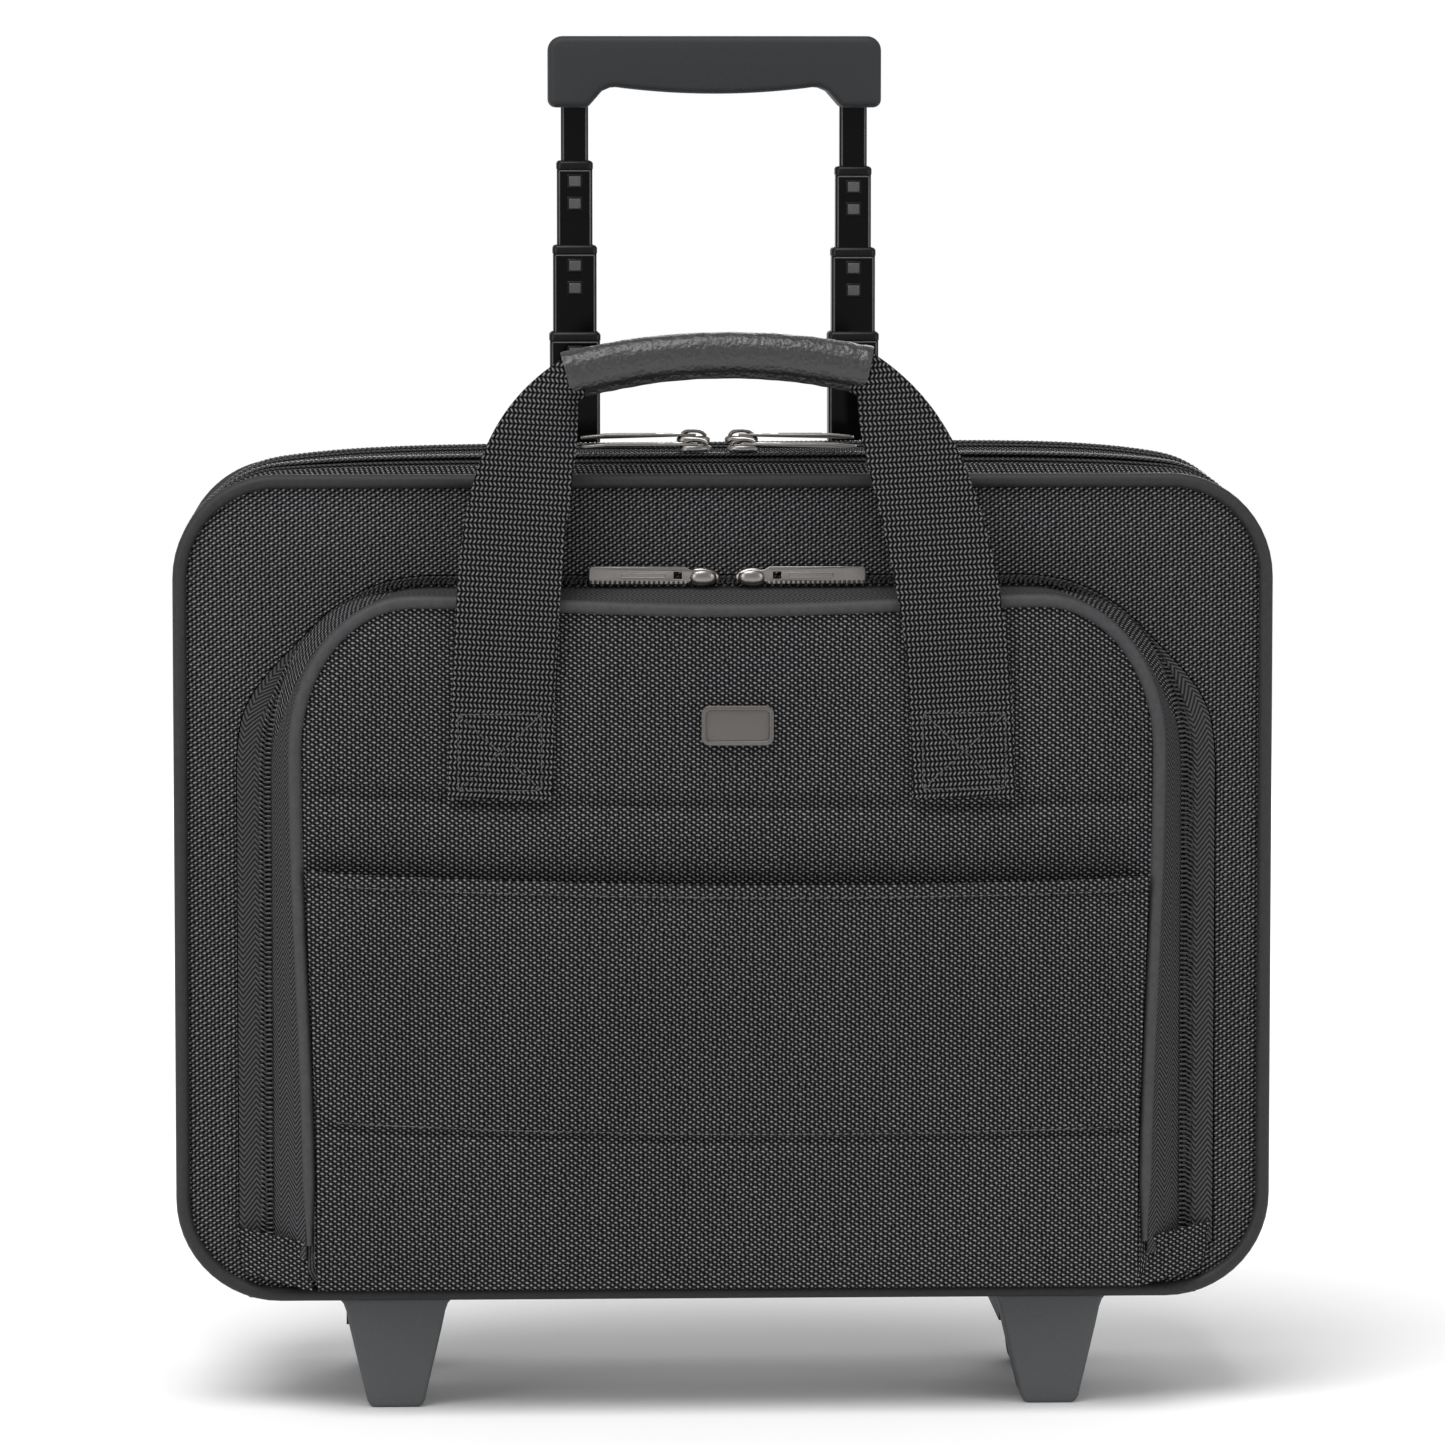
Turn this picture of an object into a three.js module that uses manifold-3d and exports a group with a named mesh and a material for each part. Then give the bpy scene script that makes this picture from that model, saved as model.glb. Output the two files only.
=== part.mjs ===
// Rolling laptop case: a soft case on two wheels and two feet, with a telescopic trolley handle.
// Millimetres, +Z up, front towards -Y. Heights are measured from the floor and depths from the
// plane of the front edge piping; the whole group is centred over its own footprint at the end.
import * as THREE from "three";
import { mergeVertices } from "three/addons/utils/BufferGeometryUtils.js";
import Module from "manifold-3d";

const wasm = await Module();
wasm.setup();

// ---------------------------------------------------------------- driving dimensions
const bodyWidth = 406;
const bodyBottom = 41.2;
const bodyTop = 348;
const bodyDepth = 118;
const cornerRadius = 34;
const gussetBottom = 45.2;
const wall = 3.5;
const gap = 0.3;

const pipeRadius = 2.6;
const pipeSides = 8;
const gussetInset = 1.5;
const panelInset = 2 * pipeRadius + gap;
const crownHeight = 10.5;
const crownCentre = 46;
const crownReach = 46;

const laptopSeam = 16;
const mainSeam = 36;
const zipWidth = 7.2;
const zipThickness = 1.2;
const zipLift = 0.5;

const pocketCentre = 2;
const pocketHalfWidth = 158.6;
const pocketTop = 303.6;
const pocketBottom = 48.5;
const pocketFace = -22;
const pocketBack = -3.4;
const pocketPipeRadius = 2.5;
const pocketFlare = 8;
const pocketCornerX = 50;
const pocketCornerZ = 62;

const handleCentre = 2;
const strapWidth = 38;
const strapThickness = 2.2;
const strapSpacing = 85;
const handleHingeHeight = 263.5;
const handleLean = 4;
const gripHalfLength = 57;

const trolleySpacing = 53;
const trolleyDepth = 101;
const wheelRadius = 30;
const wheelWidth = 22;
const wheelCentre = 124;
const wheelDepth = 96;
const footCentre = 122;

const sides = [
  { side: -1, name: "left" },
  { side: 1, name: "right" },
];

// ---------------------------------------------------------------- materials
const colours = {
  nylon: [0x303032, 0.9, 0],
  lining: [0x26262a, 0.95, 0],
  piping: [0x2a2a2c, 0.5, 0],
  webbing: [0x1d1d1f, 0.95, 0],
  leather: [0x202022, 0.45, 0],
  zip: [0x161617, 0.8, 0],
  nickel: [0x8d8984, 0.35, 1],
  steel: [0x9a9ca0, 0.35, 1],
  tube: [0x101012, 0.25, 0.2],
  grip: [0x3a3c40, 0.6, 0],
  foot: [0x45474b, 0.7, 0],
  board: [0x242426, 0.85, 0],
  tyre: [0x17171a, 0.85, 0],
};

function material(name) {
  const [color, roughness, metalness] = colours[name];
  return new THREE.MeshStandardMaterial({ color, roughness, metalness });
}

// ---------------------------------------------------------------- geometry helpers
function signedArea(points) {
  return THREE.ShapeUtils.area(points);
}

// Closed surface through a row of loops with the same number of points. Each loop is a list of 2-D
// points and a function that places one of them in space. The two end loops are capped, unless the
// row closes on itself.
function skin(loops, closed = false) {
  const count = loops[0].points.length;
  const position = [];
  const index = [];
  for (const { points, place } of loops) {
    points.forEach((p) => position.push(...place(p)));
  }
  const bands = closed ? loops.length : loops.length - 1;
  for (let k = 0; k < bands; k++) {
    const a = k * count;
    const b = ((k + 1) % loops.length) * count;
    for (let i = 0; i < count; i++) {
      const j = (i + 1) % count;
      index.push(a + i, b + i, b + j, a + i, b + j, a + j);
    }
  }
  const cap = ({ points }, first, sign) => {
    const turn = Math.sign(signedArea(points)) * sign;
    for (const [a, b, c] of THREE.ShapeUtils.triangulateShape(points, [])) {
      const same = Math.sign(signedArea([points[a], points[b], points[c]])) === turn;
      index.push(first + a, first + (same ? b : c), first + (same ? c : b));
    }
  };
  if (!closed) {
    cap(loops[0], 0, 1);
    cap(loops[loops.length - 1], (loops.length - 1) * count, -1);
  }
  const geometry = new THREE.BufferGeometry();
  geometry.setAttribute("position", new THREE.Float32BufferAttribute(position, 3));
  geometry.setIndex(index);
  return facingOut(geometry);
}

// Turns every face round if the surface encloses a negative volume.
function facingOut(geometry) {
  const at = geometry.attributes.position;
  const index = geometry.index.array;
  const [a, b, c] = [new THREE.Vector3(), new THREE.Vector3(), new THREE.Vector3()];
  let volume = 0;
  for (let i = 0; i < index.length; i += 3) {
    a.fromBufferAttribute(at, index[i]);
    b.fromBufferAttribute(at, index[i + 1]);
    c.fromBufferAttribute(at, index[i + 2]);
    volume += a.dot(b.cross(c));
  }
  if (volume < 0) geometry.setIndex(Array.from(index).reverse());
  return geometry;
}

const atX = (x) => (p) => [x, p.x, p.y];
const atY = (y) => (p) => [p.x, y, p.y];
const atZ = (z) => (p) => [p.x, p.y, z];

function prism(points, place, from, to) {
  return skin([
    { points, place: place(from) },
    { points, place: place(to) },
  ]);
}

// Corner arc of an outline, from one quarter turn to the next.
function quarter(points, x, y, radiusX, radiusY, turns, steps) {
  for (let i = 0; i <= steps; i++) {
    const angle = (turns + i / steps) * (Math.PI / 2);
    points.push(new THREE.Vector2(x + radiusX * Math.cos(angle), y + radiusY * Math.sin(angle)));
  }
}

// Rounded rectangle whose top edge rises by crown in the middle.
function outline({ left, right, bottom, top, topX, topY = topX, low = topX, crown = 0, steps = 5 }) {
  const points = [];
  const crownSteps = 8;
  quarter(points, right - low, bottom + low, low, low, -1, steps);
  quarter(points, right - topX, top - topY, topX, topY, 0, steps);
  for (let i = 1; crown && i < crownSteps; i++) {
    const t = i / crownSteps;
    const x = THREE.MathUtils.lerp(right - topX, left + topX, t);
    points.push(new THREE.Vector2(x, top + crown * (1 - (2 * t - 1) ** 2)));
  }
  quarter(points, left + topX, top - topY, topX, topY, 1, steps);
  quarter(points, left + low, bottom + low, low, low, 2, steps);
  return points;
}

// Rounded rectangle centred on a point.
function slab(width, height, radius, steps = 3, x = 0, y = 0) {
  return outline({
    left: x - width / 2,
    right: x + width / 2,
    bottom: y - height / 2,
    top: y + height / 2,
    topX: radius,
    steps,
  });
}

function solid(geometry) {
  const bare = new THREE.BufferGeometry();
  bare.setAttribute("position", geometry.attributes.position);
  bare.setIndex(geometry.index);
  const merged = mergeVertices(bare, 1e-4);
  return new wasm.Manifold(
    new wasm.Mesh({
      numProp: 3,
      vertProperties: merged.attributes.position.array,
      triVerts: new Uint32Array(merged.index.array),
    }),
  );
}

function surface(manifold) {
  const { vertProperties, triVerts } = manifold.getMesh();
  const geometry = new THREE.BufferGeometry();
  geometry.setAttribute("position", new THREE.BufferAttribute(vertProperties, 3));
  geometry.setIndex(new THREE.BufferAttribute(triVerts, 1));
  return geometry;
}

function block([x0, x1], [y0, y1], [z0, z1]) {
  const box = new THREE.BoxGeometry(x1 - x0, y1 - y0, z1 - z0);
  box.translate((x0 + x1) / 2, (y0 + y1) / 2, (z0 + z1) / 2);
  return solid(box);
}

// Round bar along X.
function bar(radius, length, x, y, z, segments = 24) {
  const cylinder = new THREE.CylinderGeometry(radius, radius, length, segments);
  cylinder.rotateZ(Math.PI / 2).translate(x, y, z);
  return solid(cylinder);
}

function part(name, geometry, look) {
  geometry.computeVertexNormals();
  const mesh = new THREE.Mesh(geometry, material(look));
  mesh.name = name;
  return mesh;
}

// ---------------------------------------------------------------- soft case
// Outline of the case itself, drawn in from its piping by inset.
function caseOutline(inset, bottom = bodyBottom + inset, crown = 0) {
  return outline({
    left: inset - bodyWidth / 2,
    right: bodyWidth / 2 - inset,
    bottom,
    top: bodyTop - inset,
    topX: cornerRadius - inset,
    low: cornerRadius - Math.max(inset, gussetInset),
    crown: crown || 1e-3,
  });
}

// How far the top of the gusset rises over its edges at a depth.
function crownAt(y) {
  return Math.max(0, crownHeight * (1 - ((y - crownCentre) / crownReach) ** 2));
}

function gussetLoop(y, inset = gussetInset) {
  const bottom = gussetBottom + Math.max(0, inset - gussetInset);
  return { points: caseOutline(inset, bottom, crownAt(y)), place: atY(y) };
}

function panelLoop(y) {
  return { points: caseOutline(panelInset), place: atY(y) };
}

// Piping runs round an outline: its section is a polygon whose corners give one loop each.
function pipe(loopAt, radius, y) {
  const loops = [];
  for (let i = 0; i < pipeSides; i++) {
    const angle = (i / pipeSides) * 2 * Math.PI;
    loops.push({
      points: loopAt(radius - radius * Math.cos(angle)),
      place: atY(y + radius * Math.sin(angle)),
    });
  }
  return skin(loops, true);
}

const innerInset = gussetInset + wall;

function frontShell() {
  return skin([
    panelLoop(-1),
    panelLoop(pipeRadius + 0.4),
    gussetLoop(pipeRadius + 0.4),
    gussetLoop(9),
    gussetLoop(laptopSeam - gap),
    gussetLoop(laptopSeam - gap, innerInset),
    gussetLoop(6.5, innerInset),
  ]);
}

function midShell() {
  const back = mainSeam - gap;
  return skin([
    gussetLoop(back - wall, innerInset),
    gussetLoop(laptopSeam, innerInset),
    gussetLoop(laptopSeam),
    gussetLoop(26),
    gussetLoop(back),
  ]);
}

const housingRadius = 36;
const housingWidth = 34;
const housingAxis = { y: wheelDepth, z: wheelRadius };

function rearShell() {
  const back = bodyDepth - wall;
  const shell = solid(
    skin([
      gussetLoop(back - wall, innerInset),
      gussetLoop(75, innerInset),
      gussetLoop(mainSeam, innerInset),
      gussetLoop(mainSeam),
      gussetLoop(57),
      gussetLoop(90),
      gussetLoop(back),
      { points: caseOutline(panelInset), place: atY(back) },
      panelLoop(bodyDepth),
    ]),
  );
  return surface(
    sides.reduce((left, { side }) => {
      const x = side * trolleySpacing;
      const tubeHole = block([x - 11.4, x + 11.4], [trolleyDepth - 8.9, trolleyDepth + 8.9], [330, 360]);
      const { y, z } = housingAxis;
      const housingHole = bar(housingRadius + 0.5, housingWidth + 1, side * wheelCentre, y, z, 32);
      return left.subtract(tubeHole).subtract(housingHole);
    }, shell),
  );
}

function frontPiping() {
  return pipe((inset) => caseOutline(inset), pipeRadius, 0);
}

// The back piping stops at the wheel housings, so it is a ring without its lowest run.
function rearPiping() {
  const ring = solid(pipe((inset) => caseOutline(inset), pipeRadius, bodyDepth - 0.4));
  return surface(ring.subtract(block([-147, 147], [100, 130], [30, 60])));
}

// Inverted U of zip tape and coil, lying just outside a gusset.
function gussetZip(seam) {
  const first = seam + gap;
  const last = first + zipWidth;
  const inner = gussetInset - zipLift;
  const outer = inner - zipThickness;
  const ring = skin(
    [gussetLoop(first, outer), gussetLoop(last, outer), gussetLoop(last, inner), gussetLoop(first, inner)],
    true,
  );
  return surface(solid(ring).subtract(block([-250, 250], [0, 130], [0, 72])));
}

// ---------------------------------------------------------------- front pocket
function pocketOutline(sideways, up, bottom = pocketBottom) {
  return outline({
    left: pocketCentre - pocketHalfWidth - sideways,
    right: pocketCentre + pocketHalfWidth + sideways,
    bottom,
    top: pocketTop + up,
    topX: pocketCornerX + sideways,
    topY: pocketCornerZ + up,
    low: 10,
    steps: 6,
  });
}

function pocketLoop(y, inset, flare) {
  const sideways = flare * pocketFlare - inset;
  const bottom = pocketBottom + Math.max(0, inset);
  return { points: pocketOutline(sideways, flare * 0.4 - inset, bottom), place: atY(y) };
}

function pocketShell() {
  const pipeInset = 2 * pocketPipeRadius + gap;
  const step = pocketFace + 5.2;
  const thickness = 2.5;
  return skin([
    pocketLoop(pocketFace, pipeInset, 0),
    pocketLoop(step, pipeInset, 0),
    pocketLoop(step, 1, 0),
    pocketLoop(pocketBack, 1, 1),
    pocketLoop(pocketBack, 1 + thickness, 1),
    pocketLoop(step + thickness, 1 + thickness, 0),
  ]);
}

function pocketPiping() {
  const ring = pipe((inset) => pocketOutline(-inset, -inset), pocketPipeRadius, pocketFace + 2.4);
  return surface(solid(ring).subtract(block([-200, 200], [-40, 10], [0, 65])));
}

function pocketZip() {
  const frame = (halfWidth, top, radiusX, radiusY) =>
    outline({
      left: 1 - halfWidth,
      right: 1 + halfWidth,
      bottom: 50,
      top,
      topX: radiusX,
      topY: radiusY,
      low: 5,
      steps: 6,
    });
  const inner = frame(169, 304.5, 58, 66);
  const outer = frame(180, 311.5, 66, 72);
  const [front, back] = [atY(-1 - gap - zipThickness), atY(-1 - gap)];
  const ring = skin(
    [
      { points: outer, place: front },
      { points: outer, place: back },
      { points: inner, place: back },
      { points: inner, place: front },
    ],
    true,
  );
  return surface(solid(ring).subtract(block([-200, 200], [-10, 10], [0, 70])));
}

function slipPocket() {
  const back = pocketFace - gap;
  const face = slab(296, 146, 8, 3, pocketCentre, 127);
  const inside = slab(290.8, 160, 6, 3, pocketCentre, 136.6);
  const panel = solid(prism(face, atY, back - 7, back));
  return surface(panel.subtract(solid(prism(inside, atY, back - 5, back + 5))));
}

function sewnPatch(height) {
  return prism(slab(strapWidth, height, 0.5, 1), atY, -strapThickness, 0);
}

// ---------------------------------------------------------------- carry handles
// Handles are drawn standing up in their own frame, with the hinge line at the origin.
const archBase = 119.5;
const archRise = 5;
const archSteps = 10;

function archPoints(offset, halfLength) {
  const points = [];
  for (let i = 0; i <= archSteps; i++) {
    const t = 1 - (2 * i) / archSteps;
    points.push(new THREE.Vector2(t * halfLength, archBase + archRise * (1 - t * t) + offset));
  }
  return points;
}

// One flat loop of webbing: two wide straps that lean inwards and a narrow run through the grip.
function handleWebbing() {
  const core = 4.6;
  const end = gripHalfLength + 0.5;
  const strap = (side) => [
    new THREE.Vector2(side * end, archBase - core - 2),
    new THREE.Vector2(side * (strapSpacing - strapWidth / 2), 0),
    new THREE.Vector2(side * (strapSpacing + strapWidth / 2), 0),
    new THREE.Vector2(side * (end + 29.5), 97),
    new THREE.Vector2(side * (end + 8), 124),
    new THREE.Vector2(side * end, archBase + core + 3),
  ];
  const points = [
    ...strap(1),
    ...archPoints(core, end),
    ...strap(-1).reverse(),
    ...archPoints(-core, end).reverse(),
  ];
  return prism(points, atY, -strapThickness / 2, strapThickness / 2);
}

// Wrapped grip: an arched sleeve with the webbing running through it.
function handleGrip() {
  const band = (offset, halfLength) => [
    ...archPoints(offset, halfLength),
    ...archPoints(-offset, halfLength).reverse(),
  ];
  const sleeve = (depth, height) => ({ points: band(height, gripHalfLength), place: atY(depth) });
  const outside = skin([sleeve(-8, 6), sleeve(-5.5, 9.3), sleeve(5.5, 9.3), sleeve(8, 6)]);
  const inside = prism(band(5.1, gripHalfLength + 2), atY, -1.6, 1.6);
  return surface(solid(outside).subtract(solid(inside)));
}

// ---------------------------------------------------------------- trolley
const tubeSizes = [
  { width: 22, depth: 17, inside: [19.7, 14.7] },
  { width: 19, depth: 14, inside: [17.2, 12.3], bottom: 112, top: 397 },
  { width: 16.5, depth: 11.6, inside: [14.2, 9.7], bottom: 155, top: 430 },
  { width: 13.5, depth: 9, inside: [11.1, 7.1], bottom: 197, top: 462 },
  { width: 10.4, depth: 6.4, inside: [8, 4.2], bottom: 237, top: 492 },
];
const fixedTube = { bottom: 60.3, top: 350.4 };
const collarHeight = 3;
const collarStep = 1.6;

// Rounded tube, open at both ends, with a wider collar at the top unless collar is 0.
function tube({ width, depth, inside }, bottom, top, collar) {
  const loop = (points, z) => ({ points, place: atZ(z) });
  const outer = slab(width, depth, 2.4, 3);
  const inner = slab(...inside, 1.6, 3);
  const loops = [loop(outer, bottom)];
  if (collar) {
    const lip = slab(width + collarStep, depth + collarStep, 2.8, 3);
    loops.push(loop(outer, top - collarHeight), loop(lip, top - collarHeight), loop(lip, top));
  } else {
    loops.push(loop(outer, top));
  }
  loops.push(loop(inner, top), loop(inner, bottom));
  return skin(loops, true);
}

function trolleyBezel() {
  const plate = solid(prism(slab(146, 22, 5, 4, 0, trolleyDepth), atZ, 350.9, 353.2));
  return surface(
    sides.reduce((left, { side }) => {
      const x = side * trolleySpacing;
      const y = trolleyDepth;
      return left.subtract(block([x - 9.9, x + 9.9], [y - 7.4, y + 7.4], [340, 360]));
    }, plate),
  );
}

// Fabric-lined channel that keeps the tubes out of the main compartment.
function trolleyCover() {
  const [front, back] = [86.5, bodyDepth - 2 * wall - gap];
  const [half, thick] = [85, 2];
  const corners = [
    [-half, back],
    [-half, front],
    [half, front],
    [half, back],
    [half - thick, back],
    [half - thick, front + thick],
    [thick - half, front + thick],
    [thick - half, back],
  ];
  const points = corners.map(([x, y]) => new THREE.Vector2(x, y));
  return prism(points, atZ, 49.2, 341);
}

const gripHalfWidth = 63.5;
const gripTop = 509;
const gripDepth = 24;
const button = { width: 30, depth: 10, bottom: 503.5, top: 508.9 };

// Moulded grip: a bar that sags a little between two short legs, on the ends of the inner tubes.
function trolleyGrip() {
  const legInside = 47;
  const under = [];
  for (let i = 0; i <= 8; i++) {
    const t = 1 - i / 4;
    under.push(new THREE.Vector2(-t * (legInside - 5), 490 - 2.4 * (1 - t * t)));
  }
  const points = [
    new THREE.Vector2(-gripHalfWidth, 482),
    new THREE.Vector2(-legInside, 482),
    new THREE.Vector2(1.5 - legInside, 487.5),
    ...under,
    new THREE.Vector2(legInside - 1.5, 487.5),
    new THREE.Vector2(legInside, 482),
    new THREE.Vector2(gripHalfWidth, 482),
  ];
  quarter(points, gripHalfWidth - 5, gripTop - 5, 5, 5, 0, 3);
  quarter(points, 5 - gripHalfWidth, gripTop - 5, 5, 5, 1, 3);
  const y0 = trolleyDepth - gripDepth / 2;
  let grip = solid(prism(points, atY, y0, y0 + gripDepth));
  for (const { side } of sides) {
    const x = side * trolleySpacing;
    grip = grip.subtract(block([x - 5.5, x + 5.5], [trolleyDepth - 3.5, trolleyDepth + 3.5], [470, 492.3]));
  }
  const [halfX, halfY] = [button.width / 2 + gap, button.depth / 2 + gap];
  const recess = block([-halfX, halfX], [trolleyDepth - halfY, trolleyDepth + halfY], [500, 520]);
  return surface(grip.subtract(recess));
}

function releaseButton() {
  const points = slab(button.width, button.depth, 2.5, 3, 0, trolleyDepth);
  return prism(points, atZ, button.bottom, button.top);
}

// ---------------------------------------------------------------- base, feet and wheels
const boardBottom = bodyBottom + 0.4;
const boardTop = gussetBottom - 0.4;

function baseBoard() {
  const half = 186;
  const notch = [wheelCentre - housingWidth / 2 - 0.5, wheelCentre + housingWidth / 2 + 0.5];
  const [front, back, notchFront] = [4.5, 113, wheelDepth - housingRadius - 0.5];
  const points = [new THREE.Vector2(-half, front + 10), new THREE.Vector2(-half + 10, front)];
  points.push(new THREE.Vector2(half - 10, front), new THREE.Vector2(half, front + 10));
  for (const side of [1, -1]) {
    const order = side > 0 ? [...notch].reverse() : notch;
    const edge = new THREE.Vector2(side * half, back);
    const cut = [
      new THREE.Vector2(side * order[0], back),
      new THREE.Vector2(side * order[0], notchFront),
      new THREE.Vector2(side * order[1], notchFront),
      new THREE.Vector2(side * order[1], back),
    ];
    points.push(...(side > 0 ? [edge, ...cut] : [...cut, edge]));
  }
  return prism(points, atZ, boardBottom, boardTop);
}

// Tapered foot, drawn about its own centre.
function foot() {
  const corners = [
    [-10.2, 0],
    [10.2, 0],
    [21.5, boardBottom - gap],
    [-21.5, boardBottom - gap],
  ];
  return prism(
    corners.map(([x, z]) => new THREE.Vector2(x, z)),
    atY,
    5,
    33,
  );
}

// Arched housing over a wheel: two cheeks that hold the axle, joined by the arch.
function wheelHousing() {
  const { y, z } = housingAxis;
  const slot = wheelWidth / 2 + 1.2;
  const clear = wheelRadius + 2.2;
  const outside = bar(housingRadius, housingWidth, 0, y, z, 32);
  const clip = block([-30, 30], [y - 50, bodyDepth + 0.2], [22, 80]);
  const wheelSpace = bar(clear, 2 * slot, 0, y, z, 32);
  const below = block([-slot, slot], [y - clear, y + 60], [0, z]);
  const axleHole = bar(3.4, 60, 0, y, z, 16);
  return surface(
    outside.intersect(clip).subtract(wheelSpace).subtract(below).subtract(axleHole),
  );
}

// Ring turned about X from [radius, distance along X] pairs.
function turned(profile, segments) {
  const points = [...profile, profile[0]].map(([r, x]) => new THREE.Vector2(r, x));
  const geometry = new THREE.LatheGeometry(points, segments);
  geometry.rotateZ(Math.PI / 2);
  return facingOut(surface(solidEitherWay(geometry)));
}

// A lathe may come out with its faces inwards; both ways round give the same solid.
function solidEitherWay(geometry) {
  const bare = new THREE.BufferGeometry();
  bare.setAttribute("position", geometry.attributes.position);
  bare.setIndex(geometry.index);
  return solid(facingOut(bare));
}

function tyre() {
  const half = wheelWidth / 2;
  return turned(
    [
      [22, -half + 1],
      [28, -half],
      [wheelRadius, -half + 3],
      [wheelRadius, half - 3],
      [28, half],
      [22, half - 1],
    ],
    32,
  );
}

function hub() {
  return turned(
    [
      [3.5, -9.5],
      [7, -9.5],
      [8, -5],
      [17, -5],
      [18.5, -9.5],
      [21.7, -9.5],
      [21.7, 9.5],
      [18.5, 9.5],
      [17, 5],
      [8, 5],
      [7, 9.5],
      [3.5, 9.5],
    ],
    24,
  );
}

// ---------------------------------------------------------------- zip sliders and pulls
// Drawn lying on the XY plane, with the zip along X and the pull pointing to +X.
const sliderLength = 12;
const bridgeAxis = 3.1;

function slider() {
  const body = solid(prism(slab(sliderLength, 6.8, 2, 2), atZ, 0, 2.2));
  const bridge = block([-4, 4], [-0.9, 0.9], [2, 4.9]);
  const opening = block([-2.6, 2.6], [-2, 2], [2.2, 4]);
  return surface(body.add(bridge).subtract(opening));
}

// Flat pull with a square eye: the bar behind the eye turns under the slider's bridge.
function pull() {
  const plate = solid(prism(slab(37.5, 7, 2.2, 3, 18.2, 0), atZ, -0.5, 0.5));
  const eye = block([0.5, 6.6], [-1.5, 1.5], [-2, 2]);
  const sideCut = block([-3, 1.2], [-6, 6], [-2, 2]);
  const barEnd = block([-0.5, 1.4], [-2.9, 2.9], [-0.5, 0.5]);
  return surface(plate.subtract(sideCut).add(barEnd).subtract(eye));
}

// ---------------------------------------------------------------- assembly
const group = new THREE.Group();
const model = new THREE.Group();
group.add(model);

function add(name, geometry, look, parent = model) {
  const mesh = part(name, geometry, look);
  parent.add(mesh);
  return mesh;
}

function addCase() {
  add("rear_shell", rearShell(), "nylon");
  add("rear_piping", rearPiping(), "piping");
  add("main_zip_chain", gussetZip(mainSeam), "zip");
  add("mid_shell", midShell(), "lining");
  add("laptop_zip_chain", gussetZip(laptopSeam), "zip");
  add("front_shell", frontShell(), "nylon");
  add("front_piping", frontPiping(), "piping");
}

function addPocket() {
  add("pocket_shell", pocketShell(), "nylon");
  add("pocket_piping", pocketPiping(), "piping");
  add("pocket_zip_chain", pocketZip(), "zip");
  add("slip_pocket_panel", slipPocket(), "nylon");
  const badge = prism(slab(26.5, 14.6, 2.5, 3, 4, 257), atY, pocketFace - gap - 1.2, pocketFace - gap);
  add("badge_plate", badge, "nickel");
  for (const { side, name } of sides) {
    const garage = prism(slab(12, 20, 1, 1, side * 176.4, 59), atY, -4.2, -1.3);
    add("zip_garage_" + name, garage, "nylon");
  }
}

function addHandles() {
  const places = {
    front: { y: pocketFace - 4.9, z: handleHingeHeight, turn: -handleLean, patchY: pocketFace - gap, up: -1 },
    rear: { y: bodyDepth + 4.2, z: 316, turn: 180 + handleLean, patchY: bodyDepth + 2.5, up: 1 },
  };
  for (const [end, { y, z, turn, patchY, up }] of Object.entries(places)) {
    const handle = new THREE.Group();
    handle.position.set(handleCentre, y, z);
    handle.rotation.x = THREE.MathUtils.degToRad(turn);
    model.add(handle);
    add(end + "_handle_webbing", handleWebbing(), "webbing", handle);
    add(end + "_handle_grip", handleGrip(), "leather", handle);
    const height = up < 0 ? 33 : 22;
    for (const { side, name } of sides) {
      const patch = add(end + "_strap_patch_" + name, sewnPatch(height), "webbing");
      const middle = z + up * (height / 2 + 1.5);
      patch.position.set(handleCentre + side * strapSpacing, patchY, middle);
    }
  }
}

function addTrolley() {
  for (const { side, name } of sides) {
    tubeSizes.forEach((size, stage) => {
      const { bottom, top } = stage ? size : fixedTube;
      const collar = stage > 0 && stage < 4;
      const label = stage ? "stage_" + stage + "_tube_" : "outer_tube_";
      const mesh = add(label + name, tube(size, bottom, top, collar), "tube");
      mesh.position.set(side * trolleySpacing, trolleyDepth, 0);
    });
  }
  add("trolley_bezel", trolleyBezel(), "grip");
  add("trolley_cover", trolleyCover(), "lining");
  add("trolley_base_block", prism(slab(146, 19.4, 3, 2, 0, trolleyDepth), atZ, 49.2, 60), "board");
  add("trolley_grip", trolleyGrip(), "grip");
  add("release_button", releaseButton(), "grip");
}

function addBase() {
  add("base_board", baseBoard(), "board");
  for (const { side, name } of sides) {
    add("foot_" + name, foot(), "foot").position.x = side * footCentre;
    add("wheel_housing_" + name, wheelHousing(), "board").position.x = side * wheelCentre;
    const wheel = new THREE.Group();
    wheel.position.set(side * wheelCentre, wheelDepth, wheelRadius);
    model.add(wheel);
    add("wheel_tyre_" + name, tyre(), "tyre", wheel);
    add("wheel_hub_" + name, hub(), "grip", wheel);
    add("axle_" + name, surface(bar(3, housingWidth - 0.6, 0, 0, 0, 16)), "steel", wheel);
  }
}

// Where the sliders of a gusset zip run: over its higher edge, halfway along the case.
function zipCrest(seam) {
  const y = seam + gap + zipWidth / 2;
  const crown = crownAt(seam + gap + zipWidth);
  return { y, z: bodyTop - gussetInset + zipLift + zipThickness + crown + gap };
}

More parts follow.
